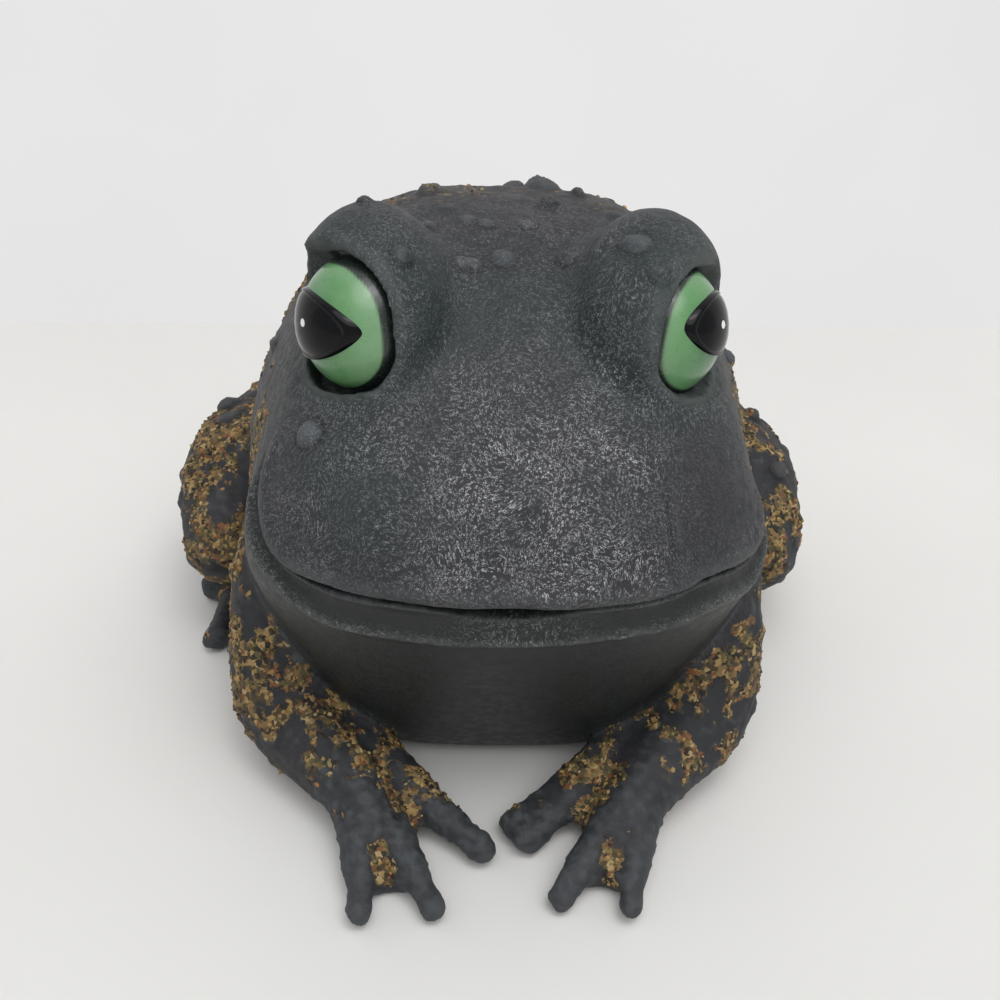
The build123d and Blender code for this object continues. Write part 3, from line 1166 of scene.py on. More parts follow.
def grit_group() -> bpy.types.NodeTree:
    """Clumps of stuck grit, each in a tone of its own, where the grit mask lets them show.

    Returns:
        The group, with Vector, Clump and Grit in, and Color, Cover and Height out.
    """
    tree = shader_group(
        "grit_stain",
        {
            "Vector": ("NodeSocketVector", None), "Clump": ("NodeSocketFloat", 820.0),
            "Grit": ("NodeSocketFloat", 0.0),
        },
        {"Color": "NodeSocketColor", "Cover": "NodeSocketFloat", "Height": "NodeSocketFloat"},
    )
    graph = Graph(tree)
    given = graph.add("NodeGroupInput")
    wobble = graph.noise(given.outputs["Vector"], given.outputs["Clump"], 2.0).outputs["Color"]
    wobble = graph.vector("SUBTRACT", wobble, (0.5, 0.5, 0.5))
    wobble = graph.vector("MULTIPLY", wobble, (0.0016, 0.0016, 0.0016))
    bent = graph.vector("ADD", given.outputs["Vector"], wobble)
    cells = graph.add("ShaderNodeTexVoronoi", {"Vector": bent, "Scale": given.outputs["Clump"]})
    chance = graph.add("ShaderNodeSeparateColor", {"Color": cells.outputs["Color"]}).outputs[0]
    ramp = graph.add("ShaderNodeValToRGB", {"Fac": chance})
    ramp.color_ramp.interpolation = "CONSTANT"
    stops = (
        (0.0, tint(40, 36, 30)), (0.18, tint(74, 62, 42)), (0.36, tint(92, 84, 52)),
        (0.52, tint(128, 104, 64)), (0.68, tint(158, 130, 82)), (0.82, tint(124, 80, 48)),
        (0.92, tint(172, 148, 104)),
    )
    set_stops(ramp, stops)
    broad = graph.cloud(given.outputs["Vector"], graph.times(given.outputs["Clump"], 0.3), 2.0)
    colour = graph.blend(graph.rise(broad, 0.5, 0.62, 0.5), ramp.outputs["Color"], tint(86, 70, 46))
    loose = graph.cloud(bent, graph.times(given.outputs["Clump"], 0.75), 3.0, 0.4)
    cover = graph.rise(graph.plus(loose, graph.times(given.outputs["Grit"], 0.55)), 0.72, 0.86)
    cover = graph.times(cover, graph.rise(given.outputs["Grit"], 0.05, 0.3))
    round_top = graph.math("SUBTRACT", 1.0, cells.outputs["Distance"])
    graph.add("NodeGroupOutput", {"Color": colour, "Cover": cover, "Height": graph.times(round_top, cover)})
    return tree


def set_stops(ramp: bpy.types.Node, stops: tuple[tuple[float, tuple], ...]) -> None:
    """Give a colour ramp its stops.

    Args:
        ramp: The ramp node.
        stops: Position and colour of each, in rising order.
    """
    elements = ramp.color_ramp.elements
    while len(elements) < len(stops):
        elements.new(1.0)
    for element, (position, colour) in zip(elements, stops):
        element.position = position
        element.color = colour


class Finish:
    """A material that is built once and shared."""

    groups: dict[str, bpy.types.NodeTree] = {}

    @classmethod
    def group(cls, name: str) -> bpy.types.NodeTree:
        """Give a shared node group, built when it is first asked for.

        Args:
            name: The group's name.

        Returns:
            The group.
        """
        makers = {"dry_brush": dry_brush_group, "mottled_wash": mottle_group, "grit_stain": grit_group}
        if name not in cls.groups:
            cls.groups[name] = makers[name]()
        return cls.groups[name]

    @staticmethod
    def start(name: str) -> tuple[bpy.types.Material, Graph, bpy.types.Node]:
        """Start a material with a Principled shader wired to its output.

        Args:
            name: The material's name.

        Returns:
            The material, its graph and the shader.
        """
        material = bpy.data.materials.new(name)
        material.use_nodes = True
        graph = Graph(material.node_tree)
        shader = graph.add("ShaderNodeBsdfPrincipled")
        graph.add("ShaderNodeOutputMaterial", {"Surface": shader.outputs[0]})
        return material, graph, shader


@dataclass(frozen=True)
class SkinFinish:
    """Painted cast skin: charcoal, dry brushed with pale grey, stained with tan and brown where grit sits,
    with painted shade on the throat, in the mouth, round the warts' feet and in hollows, and painted
    highlights on raised edges.
    """

    name: str
    ground: tuple[float, ...] = tint(41, 43, 46)
    pale: tuple[float, ...] = tint(206, 208, 210)
    # Painted shade colour for the throat, the belly and under the chin.
    dark: tuple[float, ...] = tint(37, 40, 39)
    lid: tuple[float, ...] = tint(44, 54, 51)
    teal: tuple[float, ...] = tint(42, 60, 57)
    plum: tuple[float, ...] = tint(51, 48, 51)
    slate: tuple[float, ...] = tint(70, 74, 77)
    wart: tuple[float, ...] = tint(84, 89, 93)
    # Painted shadow colour for the mouth's gap and the warts' feet.
    crease_shadow: tuple[float, ...] = tint(16, 17, 18)
    # Painted shade for the hollows and painted highlight for raised edges.
    hollow: tuple[float, ...] = tint(24, 26, 27)
    edge_highlight: tuple[float, ...] = tint(108, 111, 112)
    roughness: float = 0.62

    def build(self) -> bpy.types.Material:
        """Build the material."""
        material, graph, shader = Finish.start(self.name)
        place = graph.place()
        brush, shade, teal = graph.value_of("brush"), graph.value_of("shade"), graph.value_of("teal")
        lid, grit, convexity = graph.value_of("lid"), graph.value_of("grit"), graph.value_of("convexity")
        strokes = graph.add("ShaderNodeGroup", node_tree=Finish.group("dry_brush"))
        graph.feed(strokes, "Vector", place)
        wash = graph.add("ShaderNodeGroup", node_tree=Finish.group("mottled_wash"))
        graph.feed(wash, "Vector", place)
        broad, fine = wash.outputs["Broad"], wash.outputs["Fine"]
        colour = graph.blend(graph.times(broad, 0.55), self.ground, self.plum)
        colour = graph.blend(graph.times(teal, 0.75), colour, self.teal)
        # Painted shade on the throat, the belly and under the chin.
        colour = graph.blend(shade, colour, self.dark)
        colour = graph.blend(lid, colour, self.lid)
        # Painted shadow in the mouth and round the warts' feet.
        colour = graph.blend(graph.times(graph.value_of("line"), 0.85), colour, self.crease_shadow)
        knob = graph.times(graph.value_of("wart"), graph.plus(graph.times(brush, 1.2), 0.25), clamp=True)
        colour = graph.blend(graph.times(knob, 0.8), colour, self.wart)
        # Painted shade in the hollows and painted highlight on raised edges.
        hollow = graph.rise(convexity, 0.42, 0.1)
        colour = graph.blend(graph.times(hollow, 0.5), colour, self.hollow)
        patchy = graph.rise(broad, 0.0, 1.0)
        amount = graph.times(brush, graph.plus(graph.times(patchy, 0.6), 0.55))
        amount = graph.times(amount, strokes.outputs["Mask"], clamp=True)
        colour = graph.blend(amount, colour, self.pale)
        edge = graph.times(graph.rise(convexity, 0.56, 0.95), graph.plus(graph.times(fine, 0.5), 0.1))
        colour = graph.blend(graph.times(edge, 0.5), colour, self.edge_highlight)
        dabs = graph.rise(graph.cloud(place, 420.0, 4.0, 0.5), 0.42, 0.68)
        bare = graph.times(graph.value_of("bare"), graph.plus(graph.times(dabs, 0.6), 0.3))
        colour = graph.blend(bare, colour, self.slate)
        clumps = graph.add("ShaderNodeGroup", node_tree=Finish.group("grit_stain"))
        graph.feed(clumps, "Vector", place)
        graph.feed(clumps, "Grit", grit)
        cover = clumps.outputs["Cover"]
        colour = graph.blend(graph.times(cover, 0.92), colour, clumps.outputs["Color"])
        graph.feed(shader, "Base Color", colour)
        rough = graph.plus(graph.times(fine, 0.16), self.roughness - 0.1)
        rough = graph.math("SUBTRACT", rough, graph.times(graph.math("MAXIMUM", lid, shade), 0.1))
        graph.feed(shader, "Roughness", rough)
        height = graph.times(strokes.outputs["Height"], graph.plus(graph.times(brush, 0.9), 0.12))
        grain = graph.cloud(place, 900.0, 3.0)
        height = graph.plus(height, graph.times(grain, graph.plus(grit, 0.35)))
        height = graph.plus(height, graph.times(clumps.outputs["Height"], 2.2))
        relief = graph.add("ShaderNodeBump", {"Height": height, "Strength": 0.55, "Distance": 0.00022})
        graph.feed(shader, "Normal", relief.outputs[0])
        shader.inputs["Specular IOR Level"].default_value = 0.35
        return material


@dataclass(frozen=True)
class GritFinish:
    """Loose-looking grit and dried moss: each granule has its own tone."""

    name: str = "grit_granules"

    def build(self) -> bpy.types.Material:
        """Build the material."""
        material, graph, shader = Finish.start(self.name)
        ramp = graph.add("ShaderNodeValToRGB", {"Fac": graph.value_of("tone")})
        stops = (
            (0.0, tint(44, 38, 28)), (0.22, tint(70, 58, 40)), (0.38, tint(92, 88, 52)),
            (0.55, tint(150, 122, 74)), (0.70, tint(176, 146, 92)), (0.80, tint(150, 96, 58)),
            (0.90, tint(120, 112, 70)), (1.0, tint(196, 170, 120)),
        )
        set_stops(ramp, stops)
        speck = graph.rise(graph.cloud(graph.place(), 1500.0, 2.0), 0.35, 0.7)
        colour = graph.blend(graph.times(speck, 0.35), ramp.outputs["Color"], tint(58, 48, 34))
        graph.feed(shader, "Base Color", colour)
        graph.feed(shader, "Roughness", graph.plus(graph.times(speck, 0.1), 0.75))
        return material


@dataclass(frozen=True)
class PearlFinish:
    """Satin pearl green of the eyes, darker round the pupil and paler at the rim, with painted shadow in the
    groove under the lid's edge.
    """

    name: str = "pearl_green"

    def build(self) -> bpy.types.Material:
        """Build the material."""
        material, graph, shader = Finish.start(self.name)
        ramp = graph.add("ShaderNodeValToRGB", {"Fac": graph.value_of("ring")})
        stops = (
            (0.3, tint(54, 102, 62)), (0.62, tint(70, 124, 74)), (0.84, tint(88, 142, 86)),
            (1.0, tint(118, 160, 116)),
        )
        set_stops(ramp, stops)
        cloud = graph.rise(graph.cloud(graph.place(), 160.0, 3.0, 0.5), 0.35, 0.7)
        colour = graph.blend(graph.times(cloud, 0.22), ramp.outputs["Color"], tint(132, 168, 128))
        # Painted shadow in the groove where the lid meets the eye.
        colour = graph.blend(graph.value_of("groove_shadow"), colour, tint(24, 32, 29))
        fleck = graph.rise(graph.cloud(graph.place(), 2600.0, 1.0), 0.55, 0.75)
        colour = graph.blend(graph.times(fleck, 0.12), colour, tint(170, 200, 165))
        graph.feed(shader, "Base Color", colour)
        graph.feed(shader, "Roughness", graph.plus(graph.times(cloud, 0.08), 0.26))
        relief = graph.add("ShaderNodeBump", {"Height": fleck, "Strength": 0.12, "Distance": 0.00005})
        graph.feed(shader, "Normal", relief.outputs[0])
        shader.inputs["Coat Weight"].default_value = 0.35
        shader.inputs["Coat Roughness"].default_value = 0.16
        return material


@dataclass(frozen=True)
class PupilFinish:
    """Black high gloss with one small white dot of paint."""

    name: str
    dot: tuple[float, ...]
    dot_radius: float = 0.00095
    black: tuple[float, ...] = tint(7, 8, 10)
    dust: tuple[float, ...] = tint(18, 20, 24)
    white: tuple[float, ...] = tint(240, 240, 238)

    def build(self) -> bpy.types.Material:
        """Build the material."""
        material, graph, shader = Finish.start(self.name)
        dust = graph.rise(graph.cloud(graph.place(), 500.0, 4.0), 0.5, 0.9)
        colour = graph.blend(graph.times(dust, 0.25), self.black, self.dust)
        gap = graph.add("ShaderNodeVectorMath", {0: graph.place(), 1: self.dot}, operation="DISTANCE")
        painted = graph.rise(gap.outputs["Value"], self.dot_radius, 0.8 * self.dot_radius)
        colour = graph.blend(painted, colour, self.white)
        graph.feed(shader, "Base Color", colour)
        graph.feed(shader, "Roughness", graph.plus(graph.times(dust, 0.12), 0.13))
        shader.inputs["Specular IOR Level"].default_value = 0.15
        shader.inputs["Coat Weight"].default_value = 0.1
        shader.inputs["Coat Roughness"].default_value = 0.05
        return material


@dataclass(frozen=True)
class FeltFinish:
    """Dark felt of the pad, or the smooth sheet over the underside."""

    name: str
    ground: tuple[float, ...]
    fibre: tuple[float, ...]
    pitch: float
    sheen: float

    def build(self) -> bpy.types.Material:
        """Build the material."""
        material, graph, shader = Finish.start(self.name)
        place = graph.place()
        fibres = graph.cloud(graph.vector("MULTIPLY", place, (1.0, 0.3, 1.0)), self.pitch, 3.0, 1.2)
        graph.feed(shader, "Base Color", graph.blend(graph.rise(fibres, 0.35, 0.7), self.ground, self.fibre))
        graph.feed(shader, "Roughness", graph.plus(graph.times(fibres, 0.15), 0.8))
        relief = graph.add("ShaderNodeBump", {"Height": fibres, "Strength": 0.5, "Distance": 0.0002})
        graph.feed(shader, "Normal", relief.outputs[0])
        shader.inputs["Sheen Weight"].default_value = self.sheen
        return material


@dataclass
class GritScatter:
    """Granules scattered over a casting by Geometry Nodes, as thick as its grit mask says."""

    density: float = 520000.0
    smallest: float = 0.32
    largest: float = 0.95
    sink: float = -0.15
    seed: int = 7

    def tree(self) -> bpy.types.NodeTree:
        """Build the node tree.

        Returns:
            The tree, with its sizes as named inputs.
        """
        tree = bpy.data.node_groups.new("grit_scatter", "GeometryNodeTree")
        tree.interface.new_socket("Geometry", in_out="INPUT", socket_type="NodeSocketGeometry")
        for label in ("Density", "Smallest", "Largest", "Sink"):
            tree.interface.new_socket(label, in_out="INPUT", socket_type="NodeSocketFloat")
        tree.interface.new_socket("Seed", in_out="INPUT", socket_type="NodeSocketInt")
        tree.interface.new_socket("Material", in_out="INPUT", socket_type="NodeSocketMaterial")
        tree.interface.new_socket("Geometry", in_out="OUTPUT", socket_type="NodeSocketGeometry")
        graph = Graph(tree)
        given = graph.add("NodeGroupInput")
        mask = graph.add("GeometryNodeInputNamedAttribute", {"Name": "grains"}, data_type="FLOAT")
        thick = graph.times(mask.outputs[0], given.outputs["Density"])
        spots = graph.add(
            "GeometryNodeDistributePointsOnFaces",
            {"Mesh": given.outputs["Geometry"], "Density": thick, "Seed": given.outputs["Seed"]},
            distribute_method="RANDOM",
        )
        inward = self.scaled(graph, spots.outputs["Normal"], given.outputs["Sink"])
        sunk = graph.add("GeometryNodeSetPosition", {"Geometry": spots.outputs["Points"], "Offset": inward})
        lump = graph.add("GeometryNodeMeshIcoSphere", {"Radius": 1.0, "Subdivisions": 1})
        size = self.chance(graph, "FLOAT", given.outputs["Smallest"], given.outputs["Largest"], 1)
        shape = self.chance(graph, "FLOAT_VECTOR", (0.55, 0.55, 0.45), (1.25, 1.0, 0.85), 2)
        scale = self.scaled(graph, shape, size)
        turn = self.chance(graph, "FLOAT_VECTOR", (0.0, 0.0, 0.0), (6.28, 6.28, 6.28), 3)
        set_out = graph.add(
            "GeometryNodeInstanceOnPoints",
            {"Points": sunk.outputs[0], "Instance": lump.outputs["Mesh"], "Rotation": turn, "Scale": scale},
        )
        tone = self.chance(graph, "FLOAT", 0.0, 1.0, 4)
        named = graph.add(
            "GeometryNodeStoreNamedAttribute",
            {"Geometry": set_out.outputs[0], "Name": "tone", "Value": tone},
            data_type="FLOAT",
            domain="INSTANCE",
        )
        real = graph.add("GeometryNodeRealizeInstances", {"Geometry": named.outputs[0]})
        finish = {"Geometry": real.outputs[0], "Material": given.outputs["Material"]}
        dressed = graph.add("GeometryNodeSetMaterial", finish)
        graph.add("NodeGroupOutput", {"Geometry": dressed.outputs[0]})
        return tree

    def scaled(self, graph: Graph, vector: object, size: object) -> bpy.types.NodeSocket:
        """A vector drawn out by a number."""
        return graph.add("ShaderNodeVectorMath", {0: vector, "Scale": size}, operation="SCALE").outputs[0]

    def chance(self, graph: Graph, kind: str, low: object, high: object, seed: int) -> bpy.types.NodeSocket:
        """Add a random value node.

        Args:
            graph: Where it goes.
            kind: The node's type of data.
            low: The smallest value, plain or from a socket.
            high: The largest.
            seed: Which set of random numbers.

        Returns:
            The random value.
        """
        node = graph.add("FunctionNodeRandomValue", data_type=kind)
        live = [socket for socket in node.inputs if socket.enabled]
        for socket, value in zip(live, (low, high)):
            if isinstance(value, bpy.types.NodeSocket):
                graph.tree.links.new(value, socket)
            else:
                socket.default_value = value
        node.inputs["Seed"].default_value = seed
        return next(socket for socket in node.outputs if socket.enabled)

    def scatter(self, carrier: bpy.types.Object, name: str, material: bpy.types.Material) -> bpy.types.Object:
        """Scatter granules over a casting.

        Args:
            carrier: The casting, with its grains attribute.
            name: The new piece's name.
            material: What the granules are made of.

        Returns:
            The granules as one plain mesh.
        """
        host = bpy.data.objects.new("grit_host", carrier.data.copy())
        bpy.context.scene.collection.objects.link(host)
        modifier = host.modifiers.new("grit", "NODES")
        modifier.node_group = self.tree()
        values = {
            "Density": self.density, "Smallest": self.smallest * MM, "Largest": self.largest * MM,
            "Sink": self.sink * MM, "Seed": self.seed, "Material": material,
        }
        for item in modifier.node_group.interface.items_tree:
            if item.in_out == "INPUT" and item.name in values:
                modifier[item.identifier] = values[item.name]
        graph = bpy.context.evaluated_depsgraph_get()
        mesh = bpy.data.meshes.new_from_object(host.evaluated_get(graph))
        host.modifiers.clear()
        bpy.data.objects.remove(host)
        mesh.name = name
        piece = bpy.data.objects.new(name, mesh)
        bpy.context.scene.collection.objects.link(piece)
        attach(piece, ROOT)
        return piece


@dataclass(frozen=True)
class SkinRelief:
    """The small relief of the skin, in millimetres: unevenness, grain, grit clumps, a fold and knobs."""

    uneven_size: float = 7.5
    uneven_shares: tuple[float, float, float] = (0.16, 0.55, 0.35)
    uneven_most: float = 0.8
    grain_size: float = 1.9
    grain_heights: tuple[float, float] = (0.10, 0.16)
    clumps: tuple[tuple[float, float, int], ...] = ((2.7, 0.85, 23), (1.5, 0.45, 29))
    clump_sink: float = 0.35
    fold_place: tuple[float, float] = (32.5, 0.9)
    fold_height: tuple[float, float] = (88.0, 9.0)
    fold_front: tuple[float, float] = (48.0, 56.0)
    fold_depth: float = 0.6
    knob_size: float = 8.5
    knob_wander: tuple[float, float] = (2.0, 6.0)
    knob_heights: tuple[float, float] = (0.35, 0.55)
    knob_edge: tuple[float, float] = (0.62, 0.85)
    back_run: tuple[float, float] = (-10.0, 25.0)
    hand_run: tuple[float, float] = (-58.0, -44.0)

    def height(self, points: np.ndarray, masks: dict[str, np.ndarray], leg_share: np.ndarray) -> np.ndarray:
        """Work out how far the skin stands out.

        Args:
            points: Places in millimetres.
            masks: Where each kind of paint goes.
            leg_share: 1 on a leg, 0 on the body.

        Returns:
            The height at each point.
        """
        x, y, z = points.T
        behind = smooth_step(y, *self.back_run)
        calm = (1.0 - 0.85 * masks["shade"]) * (1.0 - masks["lid"])
        plain, on_leg, on_back = self.uneven_shares
        rough = np.clip(plain + on_leg * leg_share + on_back * behind, 0.0, self.uneven_most) * calm
        rise = rough * soft_noise(points, self.uneven_size, 3, 3)
        plain, on_leg = self.grain_heights
        rise += calm * (plain + on_leg * leg_share) * soft_noise(points, self.grain_size, 5, 2)
        lumps = sum(tall * cell_lumps(points, size, seed) for size, tall, seed in self.clumps)
        rise += np.clip(masks["grit"] * 1.25 - 0.2, 0.0, 1.0) * (lumps - self.clump_sink)
        fold = bump(x - 0.8 * np.sin(0.25 * z), *self.fold_place) * bump(z, *self.fold_height)
        rise -= self.fold_depth * fold * smooth_step(-y, *self.fold_front)
        wander, size = self.knob_wander
        knobs = cell_lumps(points + wander * soft_noise(points, size, 31)[:, None], self.knob_size, 37)
        on_back, on_leg = self.knob_heights
        knobbly = on_back * behind + on_leg * leg_share * smooth_step(y, *self.hand_run)
        rise += knobbly * calm * smooth_step(knobs, *self.knob_edge)
        return rise


@dataclass
class Casting:
    """One painted casting of the figure, cut from the sculpture and given its skin."""

    node: str
    slot: str
    grid: Grid
    sculpture: Sculpture
    wash: Wash
    warts: tuple[Wart, ...] = ()
    relief: SkinRelief = SkinRelief()
    overlap: float = 1.3
    floor: float = 0.25
    seam_drop: float = 0.5
    plate_gap: float = 0.3
    tip_thinning: float = 0.6
    tip_run: tuple[float, float] = (78.0, 90.0)
    seam_run: tuple[float, float] = (-0.3, 0.7)
    wart_swell: float = 1.2
    wart_fillet: float = 0.45
    hidden_depth: float = 0.9
    hand_run: tuple[float, float] = (58.0, 70.0)
    fine_rounds: int = 8
    broad_rounds: int = 70

    def field(self) -> tuple[Field, Field]:
        """The casting's own form.

        Returns:
            The form of this casting, and which leg or body each place belongs to.
        """
        whole = self.sculpture.whole.resampled(self.grid)
        head = self.sculpture.head.resampled(self.grid).values
        if self.node == "body_shell":
            whole.values = self.sculpture.mouth.sculpt(self.grid, whole.values)
            for seat in self.sculpture.seats.values():
                whole.values = seat.sculpt(self.grid, whole.values)
            for wart in self.warts:
                self.raise_wart(whole, wart)
            other = self.sculpture.nearest_leg.resampled(self.grid).values
            own = head
        else:
            for wart in self.warts:
                self.raise_wart(whole, wart)
            own = self.sculpture.leg_fields[self.node].resampled(self.grid).values
            other = head
            thin = self.tip_thinning * smooth_step(-self.grid.spread()[1], *self.tip_run)
            whole.values = whole.values + thin.astype(np.float32)
        side = (own - other) * 0.5
        values = whole.values
        if self.node == "body_shell":
            values = values + self.seam_drop * smooth_step(side, *self.seam_run).astype(np.float32)
            values = np.maximum(values, side - self.overlap)
            plate = self.sculpture.plate.resampled(self.grid).values
            values = np.maximum(values, self.plate_gap - plate)
        else:
            values = np.maximum(values, side)
        floor = self.floor - self.grid.spread()[2]
        return Field(self.grid, np.maximum(values, floor).astype(np.float32)), whole

    def raise_wart(self, form: Field, wart: Wart) -> None:
        """Join one wart to a form at the skin nearest to its place.

        Args:
            form: The form, which is changed.
            wart: The wart. The form stays as it is where its grid doesn't reach the wart.
        """
        spot = np.array([wart.place], float)
        for _ in range(4):
            gap = form.at(spot)[0]
            slope = np.array([form.at(spot + step)[0] - form.at(spot - step)[0] for step in np.eye(3) * 0.6])
            slope /= max(np.linalg.norm(slope), 1e-6)
            spot = spot - gap * slope
        middle = spot[0] - slope * wart.sink * wart.radius
        reach = 2.0 * wart.radius + 1.0
        cuts = []
        for known, centre in zip(self.grid.axes(), middle):
            near = np.nonzero(np.abs(known - centre) < reach)[0]
            if len(near) < 2:
                return
            cuts.append(slice(near[0], near[-1] + 1))
        x, y, z = (part - centre for part, centre in zip(self.grid.spread(), middle))
        x, y, z = x[cuts[0]], y[:, cuts[1]], z[:, :, cuts[2]]
        ripple = np.sin(3.4 * x / wart.radius + middle[0]) * np.cos(3.1 * y / wart.radius + middle[1])
        uneven = 0.96 + 0.08 * ripple
        uneven = uneven + 0.03 * np.sin(5.2 * (x - y + z) / wart.radius)
        ball = np.sqrt(x * x + y * y + z * z) - self.wart_swell * wart.radius * uneven
        part = form.values[tuple(cuts)]
        form.values[tuple(cuts)] = joined(part, ball.astype(np.float32), self.wart_fillet)

    def build(self, material: bpy.types.Material) -> bpy.types.Object:
        """Build the casting and dress it.

        Args:
            material: Its finish.

        Returns:
            The piece, riding on the figure and standing for its node.
        """
        form, whole = self.field()
        points, quads = form.surface()
        own_body = self.sculpture.head.at(points)
        nearest = self.sculpture.nearest_leg.at(points)
        leg_share = smooth_step((own_body - nearest) * 0.5, -1.5, 1.5)
        masks = self.wash.masks(points, leg_share, self.sculpture.seats)
        masks["wart"] = np.zeros(len(points))
        for wart in self.warts:
            gap = np.linalg.norm(points - np.array(wart.place), axis=1) / wart.radius
            masks["wart"] = np.maximum(masks["wart"], 1.0 - smooth_step(gap, 1.1, 1.35))
            # Painted shade in the crevice round each wart's foot.
            masks["line"] = np.maximum(masks["line"], 0.8 * bump(gap, 1.45, 0.2))
        normals = vertex_normals(points, quads)
        inner = np.abs(whole.at(points)) > self.hidden_depth
        rise = np.where(inner, 0.0, self.relief.height(points, masks, leg_share))
        raised = points + normals * rise[:, None]
        raised[:, 2] = np.maximum(raised[:, 2], self.floor)
        smooth = relaxed(raised, quads, self.fine_rounds)
        # How far the skin stands out from its smoothed self; the finish darkens hollows with painted shade
        # and lightens raised edges with painted highlight.
        stand = np.einsum("ij,ij->i", raised - smooth, normals)
        convexity = np.clip(0.5 + stand / 0.5, 0.0, 1.0)
        hand = smooth_step(-points[:, 1], *self.hand_run) * leg_share
        broad = relaxed(raised, quads, self.broad_rounds)
        ridge = np.einsum("ij,ij->i", raised - broad, normals)
        masks["grit"] = masks["grit"] * (1.0 - hand) + hand * smooth_step(-ridge, -0.35, 0.25)
        masks["bare"] = hand * smooth_step(ridge, 0.1, 0.6)
        masks["bare"] += 0.35 * smooth_step(ridge, 0.3, 1.0) * leg_share * (1.0 - hand)
        piece = new_piece(f"{self.node}_skin", raised, quads)
        for name, values in {**masks, "convexity": convexity}.items():
            store(piece, name, values)
        upward = np.clip(normals[:, 2] * 0.6 + 0.6, 0.15, 1.0)
        store(piece, "grains", np.clip(masks["grit"] * 1.4 - 0.4, 0.0, 1.0) ** 1.3 * upward * ~inner)
        piece.data.materials.append(material)
        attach(piece, ROOT)
        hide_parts(self.node)
        LOG.info("%s: %d faces", piece.name, len(quads))
        return piece


